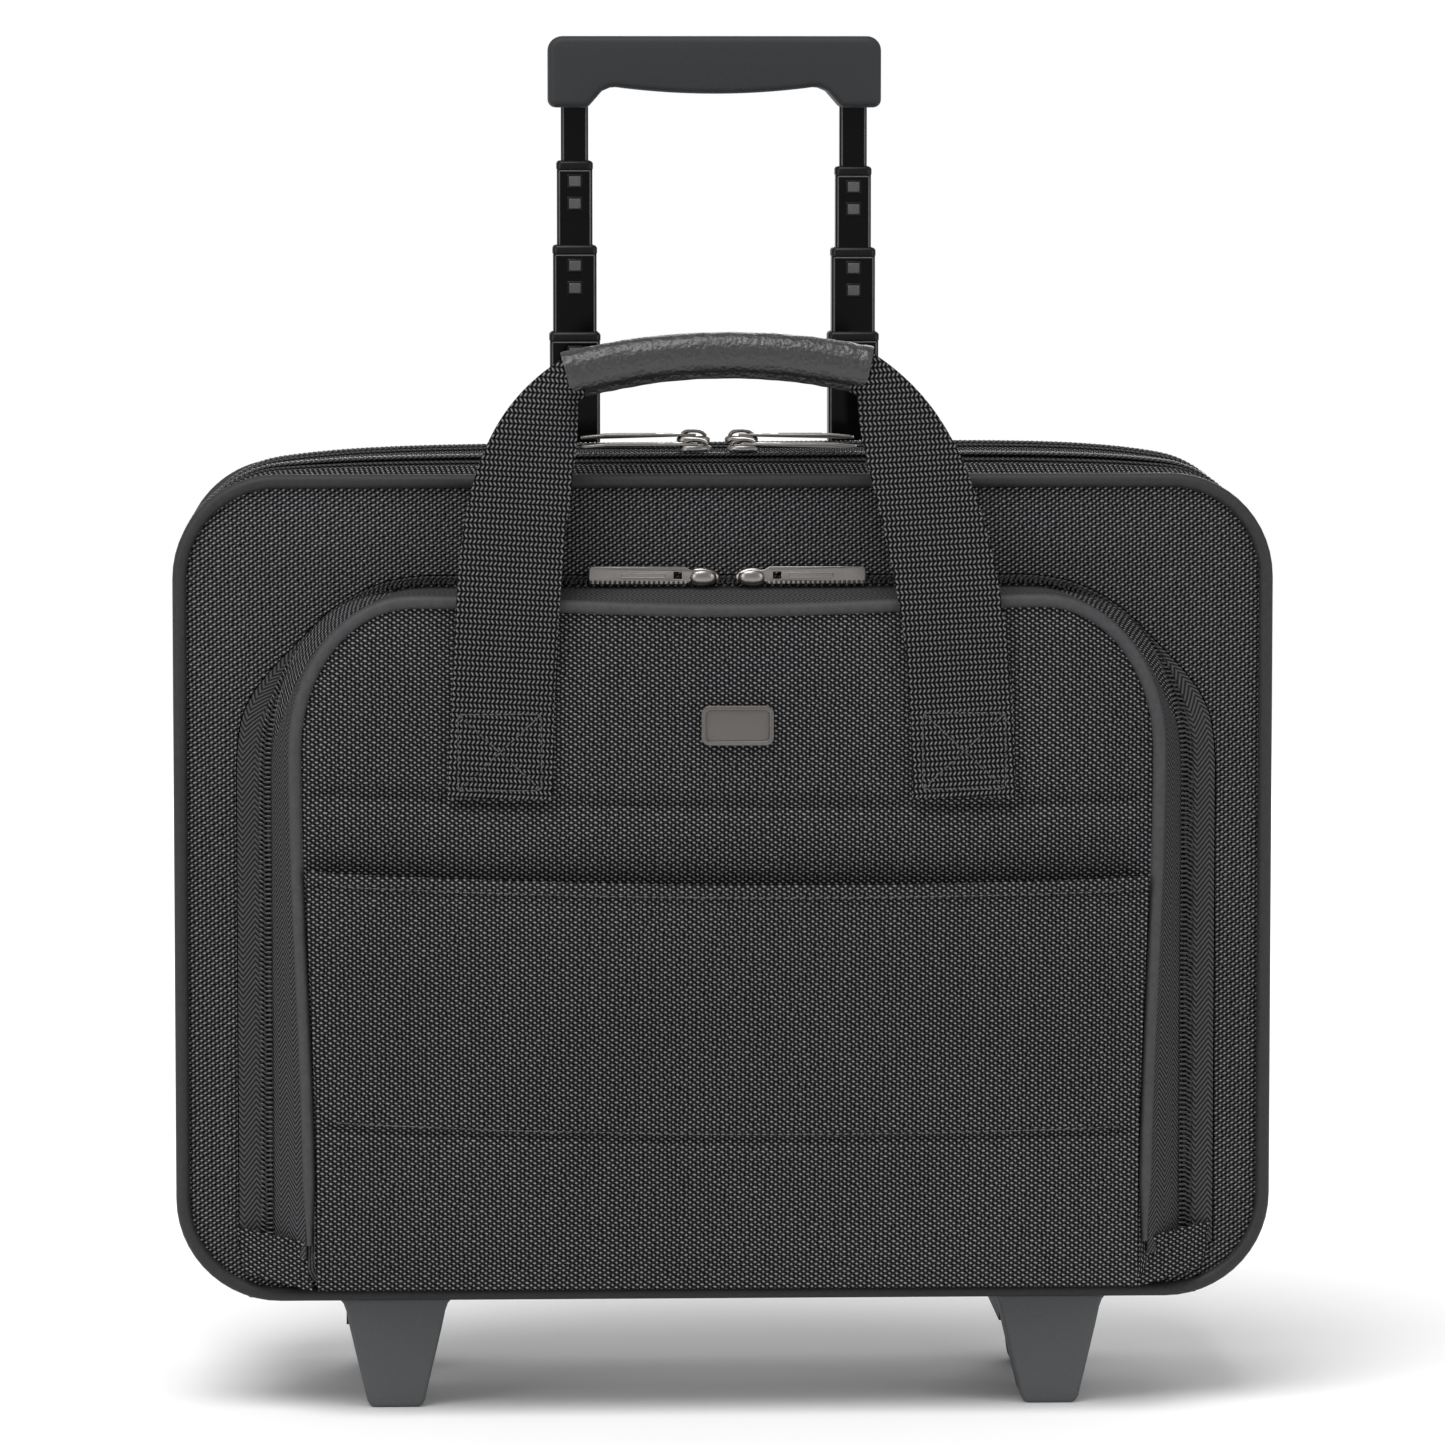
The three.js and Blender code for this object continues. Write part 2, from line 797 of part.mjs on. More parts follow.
function addSliders() {
  const upright = { turn: 0 };
  const zips = {
    main: { ...zipCrest(mainSeam), ...upright },
    laptop: { ...zipCrest(laptopSeam), ...upright },
    pocket: { y: -1 - 2 * gap - zipThickness, z: 307.8, turn: Math.PI / 2 },
  };
  for (const [zip, { y, z, turn }] of Object.entries(zips)) {
    for (const { side, name } of sides) {
      const place = new THREE.Group();
      place.position.set(side * (sliderLength / 2 + 3) + (zip === "pocket" ? 1 : -1), y, z);
      place.rotation.x = turn;
      const faced = new THREE.Group();
      faced.rotation.z = side < 0 ? Math.PI : 0;
      place.add(faced);
      model.add(place);
      add(zip + "_slider_" + name, slider(), "nickel", faced);
      add(zip + "_pull_" + name, pull(), "nickel", faced).position.z = bridgeAxis;
    }
  }
}

addCase();
addPocket();
addHandles();
addTrolley();
addBase();
addSliders();

// The origin is the middle of the footprint, on the floor.
model.updateMatrixWorld(true);
const box = new THREE.Box3().setFromObject(model);
model.position.set(-(box.min.x + box.max.x) / 2, -(box.min.y + box.max.y) / 2, -box.min.z);

export default group;
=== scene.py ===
# Rolling laptop case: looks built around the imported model. Shapes are worked out in millimetres,
# with depth measured back from the front edge, and placed in the frame in metres.
import math

import bmesh
import bpy
import numpy as np
from mathutils import Matrix, Vector, noise


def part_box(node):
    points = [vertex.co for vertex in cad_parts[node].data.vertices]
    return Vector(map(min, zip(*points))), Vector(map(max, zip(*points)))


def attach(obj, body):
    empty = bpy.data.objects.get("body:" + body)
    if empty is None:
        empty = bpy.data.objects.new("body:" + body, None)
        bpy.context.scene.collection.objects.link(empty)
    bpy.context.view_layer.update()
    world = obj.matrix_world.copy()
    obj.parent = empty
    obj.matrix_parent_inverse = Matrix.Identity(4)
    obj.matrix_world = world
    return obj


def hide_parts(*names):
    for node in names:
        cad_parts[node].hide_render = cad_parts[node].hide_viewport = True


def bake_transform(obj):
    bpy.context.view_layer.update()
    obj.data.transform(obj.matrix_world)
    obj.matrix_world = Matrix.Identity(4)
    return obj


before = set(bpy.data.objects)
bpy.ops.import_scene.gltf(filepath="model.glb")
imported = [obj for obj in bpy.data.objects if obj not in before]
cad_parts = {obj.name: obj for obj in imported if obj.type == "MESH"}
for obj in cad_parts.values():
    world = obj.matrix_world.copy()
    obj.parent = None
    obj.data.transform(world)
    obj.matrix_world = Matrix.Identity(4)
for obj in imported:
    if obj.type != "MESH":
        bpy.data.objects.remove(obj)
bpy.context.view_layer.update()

MM = 0.001
SIDES = (("left", -1), ("right", 1))
UP = np.array([0.0, 0.0, 1.0])
BACKWARD = np.array([0.0, 1.0, 0.0])

edge_low, edge_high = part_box("front_piping")
FRONT = (edge_low.y + edge_high.y) / 2


def measure(node):
    """Lowest and highest corners of a CAD node, in millimetres, depth from the front edge."""
    return tuple(np.array([c.x, c.y - FRONT, c.z]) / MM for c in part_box(node))


def place(x, depth, z):
    """A point in the frame, in metres."""
    return (x * MM, depth * MM + FRONT, z * MM)


# ---------------------------------------------------------------- driving dimensions
(LEFT, _, BOTTOM), (RIGHT, _, TOP) = measure("front_piping")
CORNER = 38.5
GUSSET_BOTTOM = measure("rear_shell")[0][2]
PIPE = 2.6
CROWN = 10.0
CROWN_MIDDLE = 46
CROWN_WIDTH = 186
LAPTOP_SEAM = measure("laptop_zip_chain")[0][1] - 0.3
MAIN_SEAM = measure("main_zip_chain")[0][1] - 0.3
ZIP_WIDTH = 7.2
BACK_EDGE = sum(measure("rear_piping")[i][1] for i in (0, 1)) / 2
(POCKET_LEFT, POCKET_FRONT, POCKET_FOOT), (POCKET_RIGHT, _, POCKET_TOP) = measure("pocket_piping")
POCKET_PIPE = 2.5
POCKET_WIDER = 3.9, 1.2
POCKET_BOTTOM = measure("pocket_shell")[0][2] - 2
TROLLEY_X = 53
TROLLEY_Y = sum(measure("outer_tube_left")[i][1] for i in (0, 1)) / 2


# ---------------------------------------------------------------- mesh building
class Piece:
    """Collects grids of points. Each face corner also keeps its place on the flat cloth."""

    def __init__(self):
        self.points, self.quads, self.cloth = [], [], []
        self.count = 0

    def grid(self, points, cloth=None, around=False, along=False):
        """Rows and columns of points; around joins the last column to the first, along the rows."""
        points = np.asarray(points, float)
        rows, cols = points.shape[:2]
        cloth = points[..., [0, 2]] if cloth is None else np.asarray(cloth, float)
        index = np.arange(rows * cols).reshape(rows, cols) + self.count
        if around:
            index = np.hstack([index, index[:, :1]])
            cloth = np.hstack([cloth, 2 * cloth[:, -1:] - cloth[:, -2:-1]])
        if along:
            index = np.vstack([index, index[:1]])
            cloth = np.vstack([cloth, 2 * cloth[-1:] - cloth[-2:-1]])
        corners = ((0, 0), (0, 1), (1, 1), (1, 0))
        high, wide = index.shape[0] - 1, index.shape[1] - 1
        pick = lambda a: [a[i : i + high, j : j + wide] for i, j in corners]
        self.quads.append(np.stack(pick(index), -1).reshape(-1, 4))
        self.cloth.append(np.stack(pick(cloth), -2).reshape(-1, 2))
        self.points.append(points.reshape(-1, 3))
        self.count += rows * cols

    def loft(self, loops, cloth=None, caps=True):
        """Closed loops joined in turn, with the two ends drawn in to a point each."""
        loops = np.asarray(loops, float)
        if cloth is None:
            cloth = strip_cloth(loops)
        if caps:
            ends = [np.repeat(loops[i].mean(0)[None], loops.shape[1], 0)[None] for i in (0, -1)]
            loops = np.concatenate([ends[0], loops, ends[1]])
            cloth = np.concatenate([cloth[:1], cloth, cloth[-1:]])
        self.grid(loops, cloth, around=True)


def strip_cloth(loops):
    """Cloth places of a lofted strip: distance round each loop, and distance from loop to loop."""
    step = np.linalg.norm(np.diff(loops, axis=1), axis=2)
    around = np.concatenate([np.zeros((len(loops), 1)), np.cumsum(step, 1)], 1)
    rise = np.linalg.norm(np.diff(loops, axis=0), axis=2).mean(1)
    along = np.concatenate([[0], np.cumsum(rise)])
    return np.stack([around, np.repeat(along[:, None], loops.shape[1], 1)], -1)


def link(name, data):
    """A new object in the scene."""
    thing = bpy.data.objects.new(name, data)
    bpy.context.scene.collection.objects.link(thing)
    return thing


def weld(mesh, distance, drop_flat=False):
    """Joins points that meet, and turns the faces outwards."""
    work = bmesh.new()
    work.from_mesh(mesh)
    bmesh.ops.remove_doubles(work, verts=work.verts, dist=distance)
    if drop_flat:
        bmesh.ops.dissolve_degenerate(work, edges=work.edges, dist=1e-7)
    bmesh.ops.recalc_face_normals(work, faces=work.faces)
    work.to_mesh(mesh)
    work.free()


def dress(mesh, look, sharp):
    """Smooth shading with sharp edges above an angle, and one material."""
    mesh.shade_smooth()
    mesh.set_sharp_from_angle(angle=math.radians(sharp))
    mesh.materials.clear()
    mesh.materials.append(look)


def mesh_object(name, points, quads, cloth, look, sharp):
    mesh = bpy.data.meshes.new(name)
    mesh.vertices.add(len(points))
    mesh.vertices.foreach_set("co", points.ravel())
    mesh.loops.add(quads.size)
    mesh.loops.foreach_set("vertex_index", quads.ravel())
    mesh.polygons.add(len(quads))
    mesh.polygons.foreach_set("loop_start", np.arange(len(quads)) * 4)
    mesh.update(calc_edges=True)
    layer = mesh.attributes.new("cloth", "FLOAT_VECTOR", "CORNER")
    flat = np.column_stack([cloth * MM, np.zeros(len(cloth))])
    layer.data.foreach_set("vector", flat.ravel())
    weld(mesh, 3e-6, drop_flat=True)
    dress(mesh, look, sharp)
    return link(name, mesh)


def finish_piece(thing, body, slot, nodes):
    if isinstance(body, tuple):
        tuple(body[2])
        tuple(body[3])
        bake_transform(thing)
    else:
        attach(thing, body)
    if nodes:
        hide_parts(*nodes)
    return thing


def make(name, piece, look, body, *nodes, slot, sharp=38):
    """Turns a collected piece into an object that rides on a body and stands for CAD nodes; given two bodies
    and two points instead, it stays fixed in the frame.
    """
    points = np.concatenate(piece.points) * MM
    points[:, 1] += FRONT
    thing = mesh_object(
        name, points, np.concatenate(piece.quads), np.concatenate(piece.cloth), look, sharp
    )
    return finish_piece(thing, body, slot, nodes)


# ---------------------------------------------------------------- outlines and paths
def smooth(t):
    t = np.clip(t, 0, 1)
    return t * t * (3 - 2 * t)


def rim(grid):
    """The points round the edge of a grid, in turn."""
    return np.concatenate([grid[0], grid[1:, -1], grid[-1, -2::-1], grid[-2:0:-1, 0]])


class Outline:
    """Upright rounded rectangle with elliptical top corners, sampled the same at every inset."""

    def __init__(self, left, right, bottom, top, top_x, top_z, low, across=80, side=60, arc=14):
        self.box = left, right, bottom, top
        self.corners = top_x, top_z, low
        self.counts = across, side, arc

    def rows(self, inset):
        """Middle, and half widths and heights from the lowest row to the highest."""
        left, right, bottom, top = self.box
        top_x, top_z, low = (max(c - inset, 0.4) for c in self.corners)
        _, side, arc = self.counts
        half, bottom, top = (right - left) / 2 - inset, bottom + inset, top - inset
        turn = np.linspace(0, math.pi / 2, arc)
        width = [half - low + low * np.sin(turn), np.full(side, half)]
        height = [bottom + low - low * np.cos(turn), np.linspace(bottom + low, top - top_z, side)]
        width.append(half - top_x + top_x * np.cos(turn))
        height.append(top - top_z + top_z * np.sin(turn))
        keep = np.concatenate([[True] * arc, [False] + [True] * (side - 2) + [False], [True] * arc])
        return (left + right) / 2, np.concatenate(width)[keep], np.concatenate(height)[keep]

    def grid(self, inset, depth):
        middle, width, height = self.rows(inset)
        spread = np.linspace(-1, 1, self.counts[0])
        x = middle + width[:, None] * spread
        z = np.repeat(height[:, None], len(spread), 1)
        return np.stack([x, np.full_like(x, depth), z], -1)

    def loop(self, inset, depth):
        return rim(self.grid(inset, depth))

    def room(self, inset):
        """Distance of each grid point from the outline's edge."""
        _, width, height = self.rows(inset)
        side = width[:, None] * (1 - np.abs(np.linspace(-1, 1, self.counts[0])))
        return np.minimum(side, np.minimum(height - height[0], height[-1] - height)[:, None])

    def arch(self, inset, depth, foot, step=1.5):
        """Open path up the left side from foot, over the top and down the right side."""
        g = self.grid(inset, depth)
        side = g[:, 0][g[:, 0, 2] > foot]
        start = np.array([[side[0][0], side[0][1], foot]])
        left = np.concatenate([start, side])
        right = left[::-1].copy()
        right[:, 0] = 2 * self.rows(inset)[0] - right[:, 0]
        return resample(np.concatenate([left, g[-1, 1:-1], right]), step)


def resample(points, step):
    """The same path with points at an even distance of about step."""
    length = np.concatenate([[0], np.cumsum(np.linalg.norm(np.diff(points, axis=0), axis=1))])
    count = max(2, int(round(length[-1] / step)) + 1)
    at = np.linspace(0, length[-1], count)
    return np.stack([np.interp(at, length, points[:, i]) for i in range(points.shape[1])], 1)


def unit(v):
    return v / np.maximum(np.linalg.norm(v, axis=-1, keepdims=True), 1e-9)


def frames(path, side, closed=False):
    """Tangent, outward normal and side direction at each point of a path."""
    if closed:
        along = np.roll(path, -1, 0) - np.roll(path, 1, 0)
    else:
        along = np.gradient(path, axis=0)
    along = unit(along)
    side = np.broadcast_to(np.asarray(side, float), path.shape)
    out = unit(np.cross(along, side))
    return along, out, unit(np.cross(out, along))


def sweep(piece, path, profile, side=BACKWARD, closed=False):
    """Carries a closed profile of [out, side] pairs along a path; profile may change on the way."""
    _, out, across = frames(path, side, closed)
    profile = np.broadcast_to(np.asarray(profile, float), (len(path),) + np.shape(profile)[-2:])
    loops = path[:, None] + out[:, None] * profile[..., :1] + across[:, None] * profile[..., 1:]
    if closed:
        piece.grid(loops, strip_cloth(loops), around=True, along=True)
    else:
        piece.loft(loops)


def circle(radius, sides=12, stretch=1.0):
    turn = np.arange(sides) / sides * 2 * math.pi
    return np.stack([radius * np.cos(turn), radius * stretch * np.sin(turn)], 1)


def flat_profile(width, thick, lift=0.0, rounding=0.3):
    """Thin strip: out runs through the thickness from lift, side runs across the width."""
    half, r = width / 2, min(rounding, thick / 2.01)
    side = np.linspace(-half + r, half - r, 9)
    top = np.stack([np.full(9, lift + thick), side], 1)
    low = np.stack([np.full(9, lift), side[::-1]], 1)
    ends = [np.array([[lift + thick / 2, half]]), np.array([[lift + thick / 2, -half]])]
    return np.concatenate([top, ends[0], low, ends[1]])


BEAD = np.array([[-0.5, 0.35], [-0.3, 0.9], [0.0, 1.0], [0.3, 0.9], [0.5, 0.35]])


def bead(piece, centre, long, out, side, length, thick, wide):
    """Small rounded bar, such as a zip tooth or a stitch."""
    turn = np.arange(8) / 8 * 2 * math.pi
    ring = out * (thick / 2) * np.cos(turn)[:, None] + side * (wide / 2) * np.sin(turn)[:, None]
    loops = centre + long * (BEAD[:, :1] * length)[:, None] + ring[None] * BEAD[:, 1:][:, None]
    piece.loft(loops)


def stitches(piece, path, out, length=2.2, pitch=3.0, thick=0.45):
    """A row of stitches along a path."""
    fine = resample(np.asarray(path, float), pitch)
    for a, b in zip(fine[:-1], fine[1:]):
        long = unit(b - a)
        bead(piece, (a + b) / 2, long, out, np.cross(long, out), length, thick, thick * 1.2)


def wander(points, scale, seed):
    """Smooth noise at each point, about -1 to 1, the same on every run."""
    flat = np.asarray(points, float).reshape(-1, 3) / scale + seed
    values = [noise.noise(Vector(p)) for p in flat]
    return np.array(values).reshape(points.shape[:-1])


# ---------------------------------------------------------------- materials
class Look:
    """A material built from shader nodes; its sockets are joined with short calls."""

    def __init__(self, name):
        self.material = bpy.data.materials.new(name)
        self.material.use_nodes = True
        self.tree = self.material.node_tree
        self.shader = self.tree.nodes["Principled BSDF"]

    def add(self, kind, **settings):
        made = self.tree.nodes.new("ShaderNode" + kind)
        for key, value in settings.items():
            setattr(made, key, value)
        return made

    def wire(self, value, socket):
        if isinstance(value, bpy.types.NodeSocket):
            self.tree.links.new(value, socket)
        else:
            socket.default_value = value

    def math(self, operation, *values):
        made = self.add("Math", operation=operation)
        for value, socket in zip(values, made.inputs):
            self.wire(value, socket)
        return made.outputs[0]

    def mix(self, factor, low, high):
        made = self.add("Mix", data_type="RGBA")
        self.wire(factor, made.inputs[0])
        self.wire(low, made.inputs[6])
        self.wire(high, made.inputs[7])
        return made.outputs[2]

    def cloth(self):
        """Places across and along the cloth, in metres."""
        split = self.add("SeparateXYZ")
        source = self.add("Attribute", attribute_name="cloth", attribute_type="GEOMETRY")
        self.wire(source.outputs["Vector"], split.inputs[0])
        return split.outputs[0], split.outputs[1]

    def solid(self):
        return self.add("TexCoord").outputs["Object"]

    def noise(self, scale, detail=2.0, rough=0.5):
        made = self.add("TexNoise")
        self.wire(self.solid(), made.inputs["Vector"])
        made.inputs["Scale"].default_value = scale
        made.inputs["Detail"].default_value = detail
        made.inputs["Roughness"].default_value = rough
        return made.outputs["Fac"]

    def bump(self, height, distance):
        made = self.add("Bump")
        made.inputs["Distance"].default_value = distance
        made.inputs["Strength"].default_value = 1.0
        self.wire(height, made.inputs["Height"])
        return made.outputs[0]

    def set(self, **values):
        for key, value in values.items():
            self.wire(value, self.shader.inputs[key.replace("_", " ")])
        return self.material

    def wave(self, place, pitch):
        """Sine of a place with one full turn each pitch."""
        return self.math("SINE", self.math("MULTIPLY", place, 2 * math.pi / pitch))


def grey(value, tint=(1.0, 1.0, 1.04)):
    return (value * tint[0], value * tint[1], value * tint[2], 1)


def woven(name, light, twill=(0.06, 0.27), bump=0.0003, across=0.003, up=0.00186, dark=0.002):
    """Ballistic weave: plump yarns, coloured near black in the gaps between them as painted shade; twill
    weighs the two diagonals.
    """
    look = Look(name)
    u, v = look.cloth()
    waver = look.math("MULTIPLY_ADD", look.noise(500, 1), 0.0012, -0.0006)
    turn_u = look.math("MULTIPLY", look.math("ADD", u, waver), 2 * math.pi / across)
    turn_v = look.math("MULTIPLY", v, 2 * math.pi / up)
    falling = look.math("COSINE", look.math("ADD", turn_u, turn_v))
    rising = look.math("COSINE", look.math("SUBTRACT", turn_u, turn_v))
    columns = look.math("COSINE", look.math("MULTIPLY", turn_u, 2.0))
    rows = look.math("COSINE", look.math("MULTIPLY", turn_v, 2.0))
    height = look.math("MULTIPLY_ADD", falling, twill[0], 0.40)
    height = look.math("MULTIPLY_ADD", rising, twill[1], height)
    height = look.math("MULTIPLY_ADD", columns, 0.17, height)
    height = look.math("MULTIPLY_ADD", rows, 0.13, height)
    height = look.math("MAXIMUM", height, 0.0)
    patch = look.noise(9, 3)
    fibre = look.noise(2600, 1)
    # Colour follows the yarn relief: near black in the gaps between yarns (painted shade) and lightest on
    # the yarn crowns. The patch and fibre noise are the cloth's own uneven tone.
    tone = look.math("POWER", height, 2.5)
    tone = look.math("MULTIPLY", tone, look.math("MULTIPLY_ADD", patch, 0.6, 0.7))
    tone = look.math("MULTIPLY", tone, look.math("MULTIPLY_ADD", fibre, 0.9, 0.55))
    return look.set(
        Base_Color=look.mix(tone, grey(dark), grey(light)),
        Roughness=look.math("MULTIPLY_ADD", height, -0.15, 0.85),
        Normal=look.bump(height, bump),
        Specular_IOR_Level=0.02,
    )


def webbing_look():
    """Ribbed webbing: rows of slanting yarns across the strap, leaning the other way each row."""
    look = Look("webbing")
    u, v = look.cloth()
    row_height = 0.00193
    fold = look.math("PINGPONG", v, row_height)
    place_across = look.math("MULTIPLY_ADD", fold, 0.5, u)
    yarn = look.math("MULTIPLY_ADD", look.wave(place_across, 0.0016), 0.5, 0.5)
    row = look.math("ABSOLUTE", look.wave(v, 2 * row_height))
    height = look.math("MULTIPLY", look.math("POWER", row, 0.8), yarn)
    fibre = look.noise(2200, 2)
    # Colour follows the relief: darkest between the rows and between the yarns (painted shade) and lightest
    # on the yarn crowns. The fibre noise is the webbing's own uneven tone.
    tone = look.math("POWER", height, 2.2)
    tone = look.math("MULTIPLY", tone, look.math("MULTIPLY_ADD", fibre, 1.0, 0.5))
    return look.set(
        Base_Color=look.mix(tone, grey(0.0025), grey(0.215)),
        Roughness=0.8,
        Normal=look.bump(look.math("ADD", height, look.math("MULTIPLY", fibre, 0.15)), 0.0004),
        Specular_IOR_Level=0.03,
    )


def herringbone_look(name, fold_width, slope, pitch):
    """Zip tape: fine twill that turns back on itself in chevrons."""
    look = Look(name)
    u, v = look.cloth()
    fold = look.math("PINGPONG", u, fold_width)
    lean = look.math("MULTIPLY_ADD", fold, slope, v)
    height = look.math("MULTIPLY_ADD", look.wave(lean, pitch), 0.5, 0.5)
    fibre = look.noise(2600, 1)
    # Colour follows the chevron relief: darker in its troughs (painted shade) and lighter on its ribs. The
    # fibre noise is the tape's own uneven tone.
    tone = look.math("MULTIPLY", height, look.math("MULTIPLY_ADD", fibre, 0.8, 0.6))
    return look.set(
        Base_Color=look.mix(tone, grey(0.006), grey(0.078)),
        Roughness=0.8,
        Normal=look.bump(height, 0.00022),
        Specular_IOR_Level=0.1,
    )


def plain_look(name, tone, rough, grain, depth, tint=(1.0, 1.0, 1.05), spread=0.2, **more):
    """Moulded or coated surface: even colour with slight patches and a fine grain."""
    look = Look(name)
    patch = look.noise(14, 3)
    speck = look.noise(grain, 3, 0.6)
    wear = look.math("MULTIPLY_ADD", patch, spread, 1 - spread / 2)
    colour = look.mix(look.math("MULTIPLY", wear, speck), grey(tone * 0.6, tint), grey(tone * 1.4, tint))
    return look.set(
        Base_Color=colour,
        Roughness=look.math("MULTIPLY_ADD", speck, 0.16, rough - 0.08),
        Normal=look.bump(speck, depth),
        **more,
    )


def leather_look():
    look = Look("leather")
    cells = look.add("TexVoronoi", feature="SMOOTH_F1")
    look.wire(look.solid(), cells.inputs["Vector"])
    cells.inputs["Scale"].default_value = 620
    wrinkle = look.noise(140, 4, 0.6)
    creases = look.noise(900, 3, 0.6)
    height = look.math("MULTIPLY_ADD", cells.outputs["Distance"], 1.1, creases)
    height = look.math("MULTIPLY_ADD", wrinkle, 0.45, height)
    return look.set(
        Base_Color=look.mix(wrinkle, grey(0.003), grey(0.011)),
        Roughness=look.math("MULTIPLY_ADD", creases, 0.22, 0.27),
        Normal=look.bump(height, 0.00034),
        Specular_IOR_Level=0.85,
    )


def metal_look(name, tone, rough, warm=(1.06, 1.0, 0.95)):
    look = Look(name)
    brushed = look.noise(900, 4, 0.7)
    smudge = look.noise(60, 3)
    return look.set(
        Base_Color=look.mix(smudge, grey(tone * 0.82, warm), grey(tone * 1.12, warm)),
        Metallic=1.0,
        Roughness=look.math("MULTIPLY_ADD", brushed, 0.18, rough - 0.09),
        Normal=look.bump(brushed, 0.00003),
    )


NYLON = woven("nylon", 0.26)
NYLON_SMALL = woven("nylon_small", 0.25, (0.24, 0.14))
LINING = woven("lining", 0.06, (0.2, 0.2), 0.00008, 0.0013, 0.0011, 0.012)
WEBBING = webbing_look()
TAPE = herringbone_look("zip_tape", 0.0045, 1.3, 0.0021)
TAPE_FINE = herringbone_look("fine_zip_tape", 0.0040, 1.3, 0.0019)
VINYL = plain_look("vinyl", 0.044, 0.6, 500, 0.00004, Specular_IOR_Level=0.25)
# Light grey for the thin ridges on the black tubes: painted highlight lines along the tube edges.
TUBE_HIGHLIGHT = plain_look("tube_painted_highlight", 0.060, 0.35, 600, 0.00002)
THREAD = plain_look("thread", 0.050, 0.6, 3000, 0.00005)
COIL = plain_look("coil", 0.020, 0.34, 900, 0.00003)
LEATHER = leather_look()
GLOSS = plain_look("gloss_black", 0.0015, 0.12, 300, 0.000004, Specular_IOR_Level=0.16)
COLLAR = plain_look("collar", 0.003, 0.34, 1200, 0.00003, Specular_IOR_Level=0.22)
PIPING = plain_look("body_piping", 0.023, 0.55, 500, 0.00004, Specular_IOR_Level=0.25)
SNAP = plain_look("snap_tab", 0.060, 0.5, 1500, 0.00004)
MOULDED = plain_look("moulded", 0.018, 0.6, 2600, 0.00009, tint=(0.95, 1.0, 1.12), Specular_IOR_Level=0.36)
FOOT = plain_look("foot_plastic", 0.066, 0.6, 2600, 0.00009, tint=(0.97, 1.0, 1.08))
BOARD = plain_look("board", 0.020, 0.62, 1500, 0.00008)
RUBBER = plain_look("rubber", 0.014, 0.8, 1800, 0.00012)
NICKEL = metal_look("nickel", 0.26, 0.30)
BADGE = metal_look("badge_metal", 0.15, 0.42)
STEEL = metal_look("steel", 0.5, 0.35, (1, 1, 1.02))


# ---------------------------------------------------------------- soft case
CASE = Outline(LEFT, RIGHT, BOTTOM, TOP, CORNER, CORNER, CORNER)


def crown(points):
    """Lifts the top of the case between its corners, most in the middle of its depth."""
    x, y, z = points[..., 0], points[..., 1], points[..., 2]
    deep = np.clip(1 - ((y - CROWN_MIDDLE) / CROWN_MIDDLE) ** 2, 0, 1)
    wide = np.clip(1 - np.abs(x / CROWN_WIDTH) ** 6, 0, 1) * (1 + 0.1 * x / 150)
    high = smooth((z - (TOP - CORNER)) / CORNER)
    raised = points.copy()
    raised[..., 2] += CROWN * deep * wide * high
    low = z < GUSSET_BOTTOM + 1
    raised[..., 2] = np.where(low & (y > PIPE), np.maximum(raised[..., 2], GUSSET_BOTTOM), raised[..., 2])
    return raised


def walls(piece, stations):
    """Skin through loops of the case outline at [inset, depth] stations."""
    loops = np.stack([crown(CASE.loop(inset, depth)) for inset, depth in stations])
    piece.grid(loops, strip_cloth(loops)[..., ::-1], around=True)


def panel(piece, inset, depth, puff=0.0, ripple=0.0, seed=0.0, ramp=26):
    """Fills the case outline, bulged by puff and rippled away from its edge."""
    g = crown(CASE.grid(inset, depth))
    room = smooth(CASE.room(inset) / ramp)
    g[..., 1] += room * puff
    if ripple:
        g[..., 1] += room * ripple * wander(g * [1, 0, 1], 70, seed)
    piece.grid(g)


def soft_tray(open_at, closed_at, thick, puff, seed):
    """Outer cloth and lining of one section: a floor panel and the wall round it."""
    step = np.sign(open_at - closed_at)
    wall_in = 1.5
    count = max(3, int(abs(open_at - closed_at) / 4))
    depths = np.linspace(closed_at + 3 * step, open_at, count)
    bulge = lambda y: 0.7 * math.sin(math.pi * (y - depths[0]) / (depths[-1] - depths[0]))
    outer = [(wall_in - bulge(y), y) for y in depths]
    inner = [(wall_in + thick - bulge(y), y) for y in depths[::-1]]
    cloth = Piece()
    walls(cloth, [(4.2, closed_at), (2.4, closed_at + 1.4 * step)] + outer + inner)
    panel(cloth, 4.2, closed_at, puff * -step, 0.5, seed)
    panel(cloth, *inner[-1])
    return cloth


